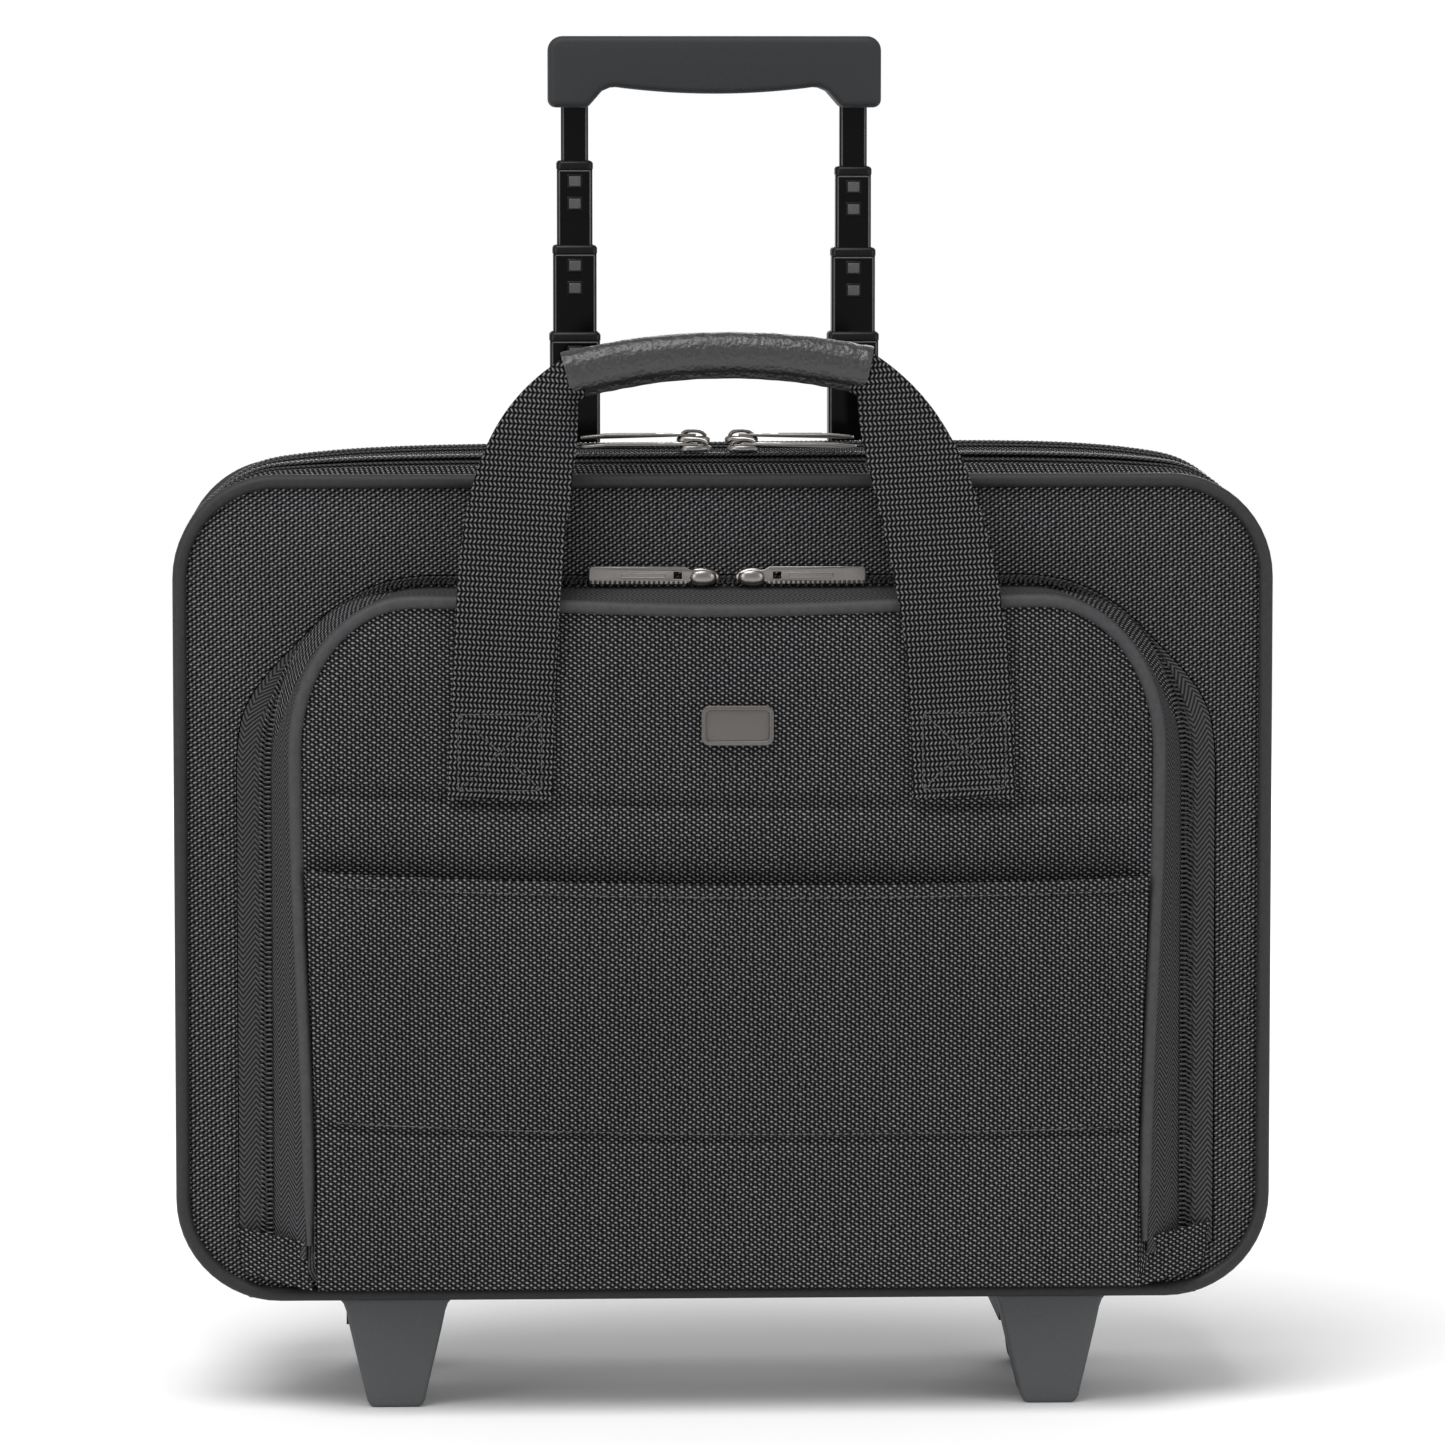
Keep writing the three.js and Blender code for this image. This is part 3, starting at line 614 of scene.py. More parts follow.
def case_sections():
    front = soft_tray(LAPTOP_SEAM - 0.4, 0.2, 2.4, 2.2, 3.0)
    make("front_cloth", front, NYLON, "front_section", "front_shell", slot="nylon")
    mid = Piece()
    back = MAIN_SEAM - 0.4
    walls(mid, [(4.9, back - 3), (4.9, LAPTOP_SEAM), (1.5, LAPTOP_SEAM), (1.1, 24), (1.1, 30), (1.5, back)])
    panel(mid, 4.9, back - 3)
    panel(mid, 1.5, back)
    make("mid_cloth", mid, NYLON_SMALL, "mid_section", "mid_shell", slot="lining")
    rear = soft_tray(MAIN_SEAM, BACK_EDGE + 0.6, 2.6, 1.6, 9.0)
    rear = make("rear_cloth", rear, NYLON, "case", "rear_shell", slot="nylon")
    cut_rear(rear)
    for name, body, depth in (("front", "front_section", 0), ("rear", "case", BACK_EDGE)):
        pipe = Piece()
        turn = np.arange(14) / 14 * 2 * math.pi
        stations = [(PIPE - PIPE * math.cos(a), depth + PIPE * math.sin(a)) for a in turn]
        loops = np.stack([CASE.loop(inset, y) for inset, y in stations])
        if name == "front":
            pipe.grid(loops, strip_cloth(loops), around=True, along=True)
        else:
            path = CASE.arch(PIPE, depth, BOTTOM + PIPE + 30)
            corner = rear_corner(depth)
            path = resample(np.concatenate([corner, path, corner[::-1] * [-1, 1, 1]]), 2.5)
            sweep(pipe, path, circle(PIPE, 14))
        make(name + "_edge", pipe, PIPING, body, name + "_piping", slot="piping", sharp=80)


def rear_corner(depth):
    """Lower left corner of the back piping, from beside the wheel housing up to the side."""
    radius = CORNER - PIPE
    turn = np.linspace(math.pi / 2, 0, 14)[:, None]
    centre = np.array([LEFT + CORNER, depth, BOTTOM + CORNER])
    arc = centre + np.hstack([-radius * np.cos(turn), 0 * turn, -radius * np.sin(turn)])
    stop = measure("wheel_housing_left")[0][0] - 8
    start = np.array([[stop, depth, BOTTOM + PIPE]])
    side = np.array([[LEFT + PIPE, depth, BOTTOM + CORNER - 2]])
    return np.concatenate([start, arc[arc[:, 0] < stop - 1], side])[: -1]


def cutter(vertices_mm, name):
    """Convex block used to cut an opening, then thrown away."""
    work = bmesh.new()
    for point in vertices_mm:
        work.verts.new(place(*point))
    bmesh.ops.convex_hull(work, input=work.verts)
    mesh = bpy.data.meshes.new(name)
    work.to_mesh(mesh)
    work.free()
    return link(name, mesh)


def cut(thing, tools):
    for tool in tools:
        step = thing.modifiers.new("cut", "BOOLEAN")
        step.object = tool
        step.operation = "DIFFERENCE"
        step.solver = "EXACT"
    bpy.context.view_layer.update()
    done = bpy.data.meshes.new_from_object(thing.evaluated_get(bpy.context.evaluated_depsgraph_get()))
    thing.modifiers.clear()
    thing.data = done
    for tool in tools:
        bpy.data.objects.remove(tool)


def box_corners(x, y, z):
    return [(a, b, c) for a in x for b in y for c in z]


def cut_rear(rear):
    """Holes for the trolley tubes and for the wheel housings."""
    tools = []
    (low, high) = measure("wheel_housing_right")
    radius = (high[2] - 30) + 0.6
    axle = measure("wheel_tyre_right")
    middle_y, middle_z = (axle[0][1] + axle[1][1]) / 2, (axle[0][2] + axle[1][2]) / 2
    turn = np.arange(40) / 40 * 2 * math.pi
    for _, side in SIDES:
        x = side * TROLLEY_X
        hole = box_corners((x - 12, x + 12), (TROLLEY_Y - 9.4, TROLLEY_Y + 9.4), (TOP - 18, TOP + 22))
        tools.append(cutter(hole, "c"))
        ring = np.stack([middle_y + radius * np.cos(turn), middle_z + radius * np.sin(turn)], 1)
        ends = [side * (low[0] - 0.5), side * (high[0] + 0.5)]
        tools.append(cutter([(x, y, z) for x in ends for y, z in ring], "c"))
    cut(rear, tools)


# ---------------------------------------------------------------- zips
def zip_arch(inset, depth, foot, step):
    return crown(CASE.arch(inset, depth, foot, step))


def coil(piece, path, side, width=5.6, pitch=1.8, lift=1.0, thick=1.3):
    """Two interlocked rows of coil loops along a path, the loops of one row square to it."""
    fine = resample(path, pitch / 2)
    along, out, across = frames(fine, side)
    reach = width * 0.62
    for i in range(len(fine)):
        row = 1 if i % 2 else -1
        lean = unit(across[i] + 0.45 * along[i] * (row > 0))
        centre = fine[i] + out[i] * lift + across[i] * row * (width - reach) / 2
        bead(piece, centre, lean, out[i], along[i], reach, thick, pitch * 0.62)


def gusset_zips():
    for zip_name, seam, rear_body, front_body in (
        ("laptop", LAPTOP_SEAM, "mid_section", "front_section"),
        ("main", MAIN_SEAM, "case", "mid_section"),
    ):
        middle = seam + 0.3 + ZIP_WIDTH / 2
        foot = measure(zip_name + "_zip_chain")[0][2] + 2
        path = zip_arch(1.5, middle, foot, 2.0)
        tape = Piece()
        sweep(tape, path, flat_profile(ZIP_WIDTH, 0.9, 0.35))
        make(zip_name + "_zip_tape", tape, TAPE, rear_body, zip_name + "_zip_chain", slot="zip")
        teeth = Piece()
        coil(teeth, path, BACKWARD)
        make(zip_name + "_zip_coil", teeth, COIL, rear_body, slot="zip", sharp=60)
        front = Piece()
        sweep(front, zip_arch(1.5, seam - 2.5, foot, 2.0), flat_profile(5.0, 0.8, 0.2))
        make(zip_name + "_zip_front_tape", front, TAPE_FINE, front_body, slot="zip")


# ---------------------------------------------------------------- front pocket
POCKET_CORNERS = 46, 57
POCKET_BOX = (POCKET_LEFT - POCKET_WIDER[0], POCKET_RIGHT + POCKET_WIDER[1], POCKET_BOTTOM, POCKET_TOP + 1.2)
POCKET = Outline(*POCKET_BOX, *POCKET_CORNERS, 10)
POCKET_MIDDLE = (POCKET_BOX[0] + POCKET_BOX[1]) / 2
POCKET_HALF = (POCKET_BOX[1] - POCKET_BOX[0]) / 2
POCKET_FACE = POCKET_FRONT + POCKET_PIPE
(_, _, SLIP_BOTTOM), (_, _, SLIP_TOP) = measure("slip_pocket_panel")
MOUTH = SLIP_TOP - 2.1
UPPER_SEAM = MOUTH + 29.7
LOWER_SEAM = MOUTH - 94.6


def pocket_drape(points):
    """Narrows the pocket towards its foot and lets the middle of its top edge hang."""
    x, z = points[..., 0] - POCKET_MIDDLE, points[..., 2]
    draped = points.copy()
    draped[..., 0] = POCKET_MIDDLE + x * (1 - 0.029 * smooth((245 - z) / 170))
    draped[..., 2] = z - 3.4 * smooth(1 - np.abs(x) / 125) * smooth((z - 230) / 70)
    return draped


def seam_rise(x):
    """How far the pocket's seams stand above their middle: they hang, and climb to the left."""
    u = (x - POCKET_MIDDLE) / POCKET_HALF
    return 4.1 * u**2 - 1.6 * u


def pocket_depth(x, z, room):
    """Depth of the pocket's face: puffed, folded at the upper seam and drawn in at the mouth."""
    level = z - seam_rise(x)
    fold = 1.2 * smooth((level - UPPER_SEAM + 0.6) / 1.2)
    puff = 2.2 * smooth(room / 30)
    dip = 1.6 * np.exp(-(((level - UPPER_SEAM) / 3.0) ** 2))
    bulge = 1.5 * np.exp(-(((level - UPPER_SEAM + 11) / 8) ** 2))
    inside = 3.4 * smooth((MOUTH + 11 - level) / 15)
    return POCKET_FACE - 0.4 - puff + (dip + inside - bulge - fold) * smooth(room / 10)


def pocket_pieces():
    outline = Outline(*POCKET_BOX, *POCKET_CORNERS, 10, across=120, side=170, arc=16)
    inset = 4.4
    face = outline.grid(inset, 0)
    room = outline.room(inset)
    face[..., 1] = pocket_depth(face[..., 0], face[..., 2], room)
    face[..., 1] += 0.5 * smooth(room / 20) * wander(face * [1, 0, 1], 60, 4.0)
    face = pocket_drape(face)
    cloth = Piece()
    cloth.grid(face)
    start = pocket_drape(outline.loop(1.4, POCKET_FACE + 2.4))
    back = pocket_flare(outline, 0.0, measure("pocket_shell")[1][1])
    waist = pocket_flare(outline, 0.5, POCKET_FACE + 9)
    inner = [b - unit(b - b.mean(0)) * [1.6, 0, 1.6] for b in (back, waist)]
    floor = pocket_drape(outline.grid(inset, POCKET_FACE + 4.5))
    floor_loop = pocket_drape(outline.loop(inset, POCKET_FACE + 4.5))
    loops = np.stack([rim(face), start, waist, back, inner[0], inner[1], floor_loop])
    cloth.grid(loops, strip_cloth(loops)[..., ::-1], around=True)
    cloth.grid(floor)
    make("pocket_cloth", cloth, NYLON_SMALL, "pocket", "pocket_shell", slot="nylon")

    pipe = Piece()
    path = pocket_drape(POCKET.arch(POCKET_PIPE, POCKET_FACE, POCKET_FOOT, 2.0))
    run = np.linspace(0, 1, len(path))
    ends = np.minimum(run, 1 - run) * len(path) * 2.0
    taper = 0.45 + 0.55 * smooth(ends / 26)
    sweep(pipe, path, circle(POCKET_PIPE, 14)[None] * taper[:, None, None])
    make("pocket_edge", pipe, VINYL, "pocket", "pocket_piping", slot="piping", sharp=80)


def pocket_flare(outline, share, depth):
    """Loop of the pocket's side at a depth; it spreads out sideways towards the back."""
    loop = pocket_drape(outline.loop(1.6, depth))
    across = loop[:, 0] - POCKET_MIDDLE
    high = smooth((loop[:, 2] - POCKET_BOTTOM) / 20)
    loop[:, 0] += np.sign(across) * 8.0 * (1 - share) * smooth(np.abs(across) / 150) * high
    loop[:, 2] += 2.0 * (1 - share) * smooth((loop[:, 2] - POCKET_TOP + 60) / 60)
    return loop


def slip_pocket():
    """Lower panel with an open hemmed mouth; it gapes a little at the mouth."""
    half = POCKET_HALF - 2 * POCKET_PIPE - 0.6
    columns, rows = 130, 110
    u = np.linspace(-1, 1, columns)
    z = np.linspace(SLIP_BOTTOM - 5.4, MOUTH, rows)
    x = POCKET_MIDDLE + half * u[None] * np.ones((rows, 1))
    level = np.repeat(z[:, None], columns, 1)
    side = half * (1 - np.abs(u))[None] * np.ones((rows, 1))
    foot = level - level.min()
    mouth = smooth((level - LOWER_SEAM) / (MOUTH - LOWER_SEAM))
    gape = (1.4 + 3.2 * mouth) * smooth(side / 22) * smooth(foot / 14)
    groove = 1.7 * np.exp(-(((level - LOWER_SEAM) / 1.6) ** 2)) * smooth(side / 6)
    y = POCKET_FACE - 3.4 - gape + groove
    y += 0.7 * smooth(side / 25) * smooth(foot / 20) * wander(np.stack([x, 0 * x, level], -1), 55, 12.0)
    height = level + seam_rise(x) * smooth(foot / 50)
    face = pocket_drape(np.stack([x, y, height], -1))
    back = face + [0, 1.3, 0]
    hem = face[-1] + [0, 0.65, 0.7]
    cloth = Piece()
    cloth.grid(face)
    cloth.grid(back)
    cloth.grid(np.stack([face[-1], hem, back[-1]]), np.stack([face[-1], hem, back[-1]])[..., [0, 2]])
    cloth.grid(np.stack([face[0], back[0]]))
    for edge in (0, -1):
        cloth.grid(np.stack([face[:, edge], back[:, edge]]))
    make("slip_cloth", cloth, NYLON_SMALL, "pocket", "slip_pocket_panel", slot="nylon")
    band = Piece()
    hem_rows = np.linspace(-4.6, 0.5, 6)
    top = face[-1]
    loops = []
    for rise in hem_rows:
        loops.append(top + [0, -0.5 - 0.35 * math.sin((rise + 4.6) / 5.1 * math.pi), rise])
    front_side = np.stack(loops)
    back_side = front_side + [0, 0.45, 0]
    around = np.concatenate([front_side, back_side[::-1]])
    band.grid(around, np.stack([around[..., 0], around[..., 2]], -1), along=True)
    make("slip_hem", band, NYLON_SMALL, "pocket", slot="nylon")
    thread = Piece()
    stitches(thread, top[4:-4] + [0, -0.95, -3.9], np.array([0, -1, 0]))
    seam = face[np.abs(z - LOWER_SEAM).argmin() + 2]
    stitches(thread, seam[3:-3] + [0, -0.2, 0], np.array([0, -1, 0]))
    make("slip_stitches", thread, THREAD, "pocket", slot="webbing", sharp=60)


ZIP_LOW, ZIP_HIGH = measure("pocket_zip_chain")
ZIP_LINE = Outline(ZIP_LOW[0] + 9.8, ZIP_HIGH[0] - 9.8, BOTTOM, ZIP_HIGH[2] - 3.3, 60, 68, 6)


def pocket_zip():
    """Zip round the pocket: tape on the case, coil, and tape up the side of the pocket."""
    tape_depth = measure("pocket_zip_chain")[0][1]
    foot = ZIP_LOW[2] - 8
    path = ZIP_LINE.arch(0, tape_depth, foot, 2.0)
    reach = 2.8 + 8.0 * smooth((290 - path[:, 2]) / 36)
    outer = Piece()
    far = np.array([[0.0, 1.0], [-0.4, 1.15], [-0.8, 1.15], [-0.4, 0.2], [0.0, 0.2]])
    near = np.array([[1.6, 0.2], [1.4, 0.6], [1.6, 1.0]])
    profile = np.concatenate([np.repeat(far[None], len(path), 0), np.repeat(near[None], len(path), 0)], 1)
    profile[:, :5, 0] += reach[:, None]
    sweep(outer, path, profile)
    make("pocket_zip_tape", outer, TAPE, "front_section", "pocket_zip_chain", slot="zip")
    teeth = Piece()
    fine = resample(path, 0.9)
    along, out, _ = frames(fine, BACKWARD)
    for i in range(len(fine)):
        row = 1 if i % 2 else -1
        tilt = math.radians(18 + 54 * abs(out[i][2]) ** 1.5)
        across = out[i] * math.cos(tilt) + BACKWARD * math.sin(tilt)
        lift = out[i] * math.sin(tilt) - BACKWARD * math.cos(tilt)
        lean = unit(across + 0.45 * along[i] * (row > 0))
        centre = fine[i] + across * row * 1.1 + lift * 0.6 - BACKWARD * 1.6 * math.sin(tilt)
        bead(teeth, centre, lean, lift, along[i], 3.4, 1.3, 1.1)
    make("pocket_zip_coil", teeth, COIL, "front_section", slot="zip", sharp=60)
    pocket_side_tape(tape_depth)
    for name, side in SIDES:
        garage(name, side)


def pocket_side_tape(tape_depth):
    """Tape that climbs the pocket's side from the coil to the piping."""
    foot = ZIP_LOW[2] - 10
    low = pocket_drape(POCKET.arch(0.9, POCKET_FACE + 0.8, foot, 2.0))
    high = ZIP_LINE.arch(1.6, tape_depth, foot, 2.0)
    count = len(low)
    at = np.linspace(0, len(high) - 1, count)
    high = np.stack([np.interp(at, np.arange(len(high)), high[:, i]) for i in range(3)], 1)
    share = np.linspace(0, 1, 7)[:, None, None]
    outer = low * (1 - share) + high * share
    middle = np.array([POCKET_MIDDLE, 0, 160])
    outer += unit((outer - middle) * [1, 0, 1]) * (0.4 * np.sin(share * math.pi))
    inner = outer - unit((outer - middle) * [1, 0, 1]) * 0.7 + [0, 0.3, 0]
    around = np.concatenate([outer, inner[::-1]])
    run = np.arange(count) * 2.0
    width = np.concatenate([np.linspace(0, 17, 7), np.linspace(17, 0, 7)])
    tape = Piece()
    tape.grid(around, np.stack(np.broadcast_arrays(width[:, None], run[None]), -1), along=True)
    for end in (0, -1):
        tape.grid(np.stack([outer[:, end], inner[:, end]]))
    make("pocket_side_tape", tape, TAPE_FINE, "pocket", slot="zip")


def garage(name, side):
    """Folded fabric tab over the end of the pocket zip, from the case up to the pocket's edge."""
    low, high = measure("zip_garage_" + name)
    middle = (low[0] + high[0]) / 2 - side * 8.6
    half, columns, rows = 12.6, 16, 14
    u, v = np.meshgrid(np.linspace(-1, 1, columns), np.linspace(0, 1, rows))
    x = middle + (half * u - 2.6 * (1 - v)) * side
    foot = low[2] - 1.4 + 2.4 * (1 + u)
    z = foot + (high[2] - 1.2 + 1.8 * u - foot) * v
    inward = (1 - u) / 2
    hem = 0.5 * smooth((v - 0.84) / 0.05)
    y = -3.0 - 14.6 * inward**1.2 - 1.6 * (1 - u**2) - hem
    face = np.stack([x, y, z], -1)
    back = np.stack([x, y + 1.1, z], -1)
    tab = Piece()
    tab.grid(face)
    tab.grid(back)
    for index in (0, -1):
        tab.grid(np.stack([face[index], back[index]]))
        tab.grid(np.stack([face[:, index], back[:, index]]))
    span = place(middle + side * 6, 0, low[2] + 1), place(middle - side * 9, 0, low[2] + 1)
    bodies = ("front_section", "pocket") + span
    make("garage_" + name, tab, NYLON_SMALL, bodies, "zip_garage_" + name, slot="nylon")


# ---------------------------------------------------------------- carry handles
STRAP_THICK = 2.0
PATCH_LOW, PATCH_HIGH = measure("front_strap_patch_right")
GRIP_LOW, GRIP_HIGH = measure("front_handle_grip")
STRAP = PATCH_HIGH[0] - PATCH_LOW[0]
HANDLE_MIDDLE = (GRIP_LOW[0] + GRIP_HIGH[0]) / 2
HANDLE_SWAY = -4.9
HANDLE_TILT = 1.0
GRIP_REACH = (GRIP_HIGH[0] - GRIP_LOW[0]) / 2
GRIP_Z = GRIP_LOW[2] + 13.2
HINGE_Y, HINGE_Z = PATCH_LOW[1] - 2.4, PATCH_HIGH[2] + 1.5
STRAP_FOOT = PATCH_LOW[2] + 1.4


def bezier(points, count=80):
    """Cubic curve from the first of four points to the last."""
    t = np.linspace(0, 1, count)[:, None]
    a, b, c, d = np.asarray(points, float)
    return a * (1 - t) ** 3 + 3 * b * t * (1 - t) ** 2 + 3 * c * t**2 * (1 - t) + d * t**3


def strap_edges(side):
    """Rows [outer x, z, inner x, z] of a strap that rises from its foot and gathers into the grip."""
    top = GRIP_Z + side * HANDLE_TILT
    edges = []
    for foot, rise, reach, turn, tuck in (
        (PATCH_HIGH[0], (-3, 89), (GRIP_REACH, top + 6.0), (39, -25), (-6.5, 1.2)),
        (PATCH_LOW[0], (0, 89), (GRIP_REACH - 5.6, top - 9.8), (-1.4, -24.4), (-3.0, 1.8)),
    ):
        start, end = np.array([foot - HANDLE_MIDDLE, STRAP_FOOT]), np.array(reach)
        curve = bezier([start, start + rise, end + turn, end])
        edges.append(np.concatenate([curve, [end + tuck]]))
    rows = np.hstack(edges)
    for i in (0, 2):
        sway = HANDLE_SWAY * smooth((rows[:, i + 1] - HINGE_Z) / (GRIP_Z - HINGE_Z))
        rows[:, i] = HANDLE_MIDDLE + side * rows[:, i] + sway
    return rows


def strap_rows(edges, depth):
    """Strap edges with a depth for each height, as [x, depth, z] of the two edges."""
    return np.array([[a, depth(b), b, c, depth(d), d] for a, b, c, d in edges])


def grip_ends(depth, level):
    """Ends of a carry grip; level turns a height on the front handle into its own."""
    middle, reach = HANDLE_MIDDLE + HANDLE_SWAY, GRIP_REACH - 1.5
    return [[middle + side * reach, depth, level(GRIP_Z + side * HANDLE_TILT)] for _, side in SIDES]


def strap_ribbon(piece, edges):
    """Strap between an outer and an inner edge; it cups where it is gathered into the grip."""
    columns = 14
    fine = resample(edges, 2.2)
    outer, inner = fine[:, :3], fine[:, 3:]
    share = np.linspace(0, 1, columns)[None, :, None]
    rows = outer[:, None] * (1 - share) + inner[:, None] * share
    across = unit(inner - outer)
    along = unit(np.gradient((outer + inner) / 2, axis=0))
    out = unit(np.cross(along, across))
    facing = 1 if edges[0][1] < 0 else -1
    out *= -np.sign(out[:, 1:2] * facing)
    squeeze = 1 - np.linalg.norm(inner - outer, axis=1) / STRAP
    cup = smooth((squeeze - 0.05) / 0.5) * 7.0
    bowed = cup[:, None, None] * ((2 * share - 1) ** 2) * out[:, None]
    front = rows - bowed + out[:, None] * STRAP_THICK / 2
    back = rows - bowed - out[:, None] * STRAP_THICK / 2
    loops = np.concatenate([front, back[:, ::-1]], 1)
    lean = math.radians(3) * np.sign(inner[0, 0] - outer[0, 0])
    turned = loops[..., 0] * math.cos(lean) - loops[..., 2] * math.sin(lean)
    height = loops[..., 2] * math.cos(lean) + loops[..., 0] * math.sin(lean)
    piece.loft(loops, np.stack([turned, height], -1))


def smooth_path(points, step):
    """Even points along a curve through the given ones."""
    points = np.asarray(points, float)
    fine = np.linspace(0, len(points) - 1, 40 * len(points))
    out = np.empty((len(fine), points.shape[1]))
    padded = np.vstack([2 * points[0] - points[1], points, 2 * points[-1] - points[-2]])
    for k, t in enumerate(fine):
        i = min(int(t), len(points) - 2)
        s = t - i
        p0, p1, p2, p3 = padded[i : i + 4]
        out[k] = 0.5 * (
            2 * p1 + (p2 - p0) * s + (2 * p0 - 5 * p1 + 4 * p2 - p3) * s**2
            + (3 * p1 - p0 - 3 * p2 + p3) * s**3
        )
    return resample(out, step) if step else out


def carry_handle(end, fixed, hinge, edges_of, depth, sleeve):
    """Two straps, and the sleeve round them, for the front or the rear handle."""
    handle = end + "_handle"
    for name, side in SIDES:
        piece = Piece()
        strap_ribbon(piece, strap_rows(edges_of(side), depth))
        nodes = [f"{end}_strap_patch_{name}"] + ([handle + "_webbing"] if side < 0 else [])
        make(f"{end}_strap_{name}", piece, WEBBING, (fixed, handle) + hinge, *nodes, slot="webbing")
    thing = make(end + "_leather", sleeve, LEATHER, handle, handle + "_grip", slot="leather", sharp=60)


def front_handle():
    lean = 0.094
    hinge = (place(0, HINGE_Y, HINGE_Z - 5), place(0, HINGE_Y, HINGE_Z + 7))

    def depth(z):
        return HINGE_Y + 1.7 - 0.7 * smooth((z - PATCH_HIGH[2]) / 30) + max(0.0, z - 300) * lean

    start, end = grip_ends((GRIP_LOW[1] + GRIP_HIGH[1]) / 2 + 5.9, lambda z: z)
    sleeve = leather_sleeve(start, end, 6.8, UP, -BACKWARD)
    carry_handle("front", "pocket", hinge, strap_edges, depth, sleeve)
    for name, side in SIDES:
        foot = strap_edges(side)[0]
        box_stitch(name, (foot[0] + foot[2]) / 2)


def box_stitch(name, c):
    """Square of stitches with a cross in it, holding the foot of a strap to the pocket."""
    half, low, high, front = STRAP * 0.4, STRAP_FOOT + 3.1, PATCH_HIGH[2] - 0.5, HINGE_Y + 0.5
    corners = [(c - half, low), (c + half, low), (c + half, high), (c - half, high), (c - half, low)]
    lines = [corners, [(c - half, low), (c + half, high)], [(c - half, high), (c + half, low)]]
    box = Piece()
    for line in lines:
        stitches(box, [[x, front, z] for x, z in line], np.array([0, -1, 0]), 1.9, 2.6, 0.5)
    make("front_box_stitch_" + name, box, THREAD, "pocket", slot="webbing", sharp=60)


def leather_sleeve(start, end, rise, up, out):
    """Wrapped grip: an arched sleeve, fuller at its ends, with a sewn fin along its lower edge."""
    start, end = np.array(start, float), np.array(end, float)
    t = np.linspace(0, 1, 90)
    path = start + (end - start) * t[:, None] + up * (rise * (1 - (2 * t - 1) ** 2))[:, None]
    long = unit(np.gradient(path, axis=0))
    lift = unit(np.cross(long, np.cross(up, long)))
    angle = np.arange(48) / 48 * 2 * math.pi
    ends = np.minimum(t, 1 - t) * np.linalg.norm(end - start)
    tall = 7.5 + 0.5 * (2 * t - 1) ** 2
    deep = 7.2 + 0.3 * (2 * t - 1) ** 2
    loops = []
    for k in range(len(t)):
        round_z = np.sign(np.sin(angle)) * np.abs(np.sin(angle)) ** 0.85
        round_y = np.sign(np.cos(angle)) * np.abs(np.cos(angle)) ** 0.85
        fin = 2.1 * np.exp(-(((angle - 1.5 * math.pi) / 0.16) ** 4))
        soft = 0.25 * math.sin(ends[k] * 0.9) * math.exp(-ends[k] / 14)
        ring = lift[k] * (round_z * (tall[k] + soft) - fin)[:, None]
        ring = ring + out * (round_y * (deep[k] + soft))[:, None]
        loops.append(path[k] + ring)
    loops = np.stack(loops)
    uneven = 0.16 * wander(loops, 7, 2.0) * smooth(ends / 6)[:, None]
    loops += uneven[..., None] * unit(loops - path[:, None])
    mouth = [path[i] + (loops[i] - path[i]) * 0.82 for i in (0, -1)]
    loops = np.concatenate([mouth[0][None], loops, mouth[1][None]])
    piece = Piece()
    piece.loft(loops)
    return piece


def rear_handle():
    """The second handle, hanging down the back: the front one turned upside down."""
    low, high = measure("rear_handle_webbing")
    hinge_y, hinge_z = low[1] + 1.1, high[2]
    hinge = (place(0, hinge_y, hinge_z + 5), place(0, hinge_y, hinge_z - 7))
    sewn = 22

    def below(z):
        return hinge_z - (z - HINGE_Z)

    def depth(z):
        drop = max(hinge_z - z, 0)
        return hinge_y - 2.6 + smooth(drop / 20) + drop * 0.07

    def edges_of(side):
        edges = strap_edges(side)
        edges[:, [1, 3]] = below(edges[:, [1, 3]])
        return edges[edges[:, 1] < hinge_z + sewn]

    start, end = grip_ends(low[1] + 9.9, below)
    sleeve = leather_sleeve(start, end, 6.6, -UP, BACKWARD)
    carry_handle("rear", "case", hinge, edges_of, depth, sleeve)


# ---------------------------------------------------------------- trolley
def rounded_section(width, depth, radius, steps=5):
    """Closed section of a tube, as [x, y] pairs."""
    points = []
    for k, (sx, sy) in enumerate(((1, 1), (-1, 1), (-1, -1), (1, -1))):
        for i in range(steps + 1):
            a = (k + i / steps) * math.pi / 2
            corner = sx * (width / 2 - radius), sy * (depth / 2 - radius)
            points.append([corner[0] + radius * math.cos(a), corner[1] + radius * math.sin(a)])
    return np.array(points)


def tube_loops(x, y, stations):
    """Loops of a tube at [height, width, depth, radius] stations."""
    loops = []
    for z, width, depth, radius in stations:
        section = rounded_section(width, depth, radius)
        loops.append(np.column_stack([section[:, 0] + x, section[:, 1] + y, np.full(len(section), z)]))
    return np.stack(loops)


TUBES = ((19.0, 14.0, 17.2, 12.3), (16.5, 11.6, 14.2, 9.7), (13.5, 9.0, 11.1, 7.1), (10.4, 6.4, 8.0, 4.2))


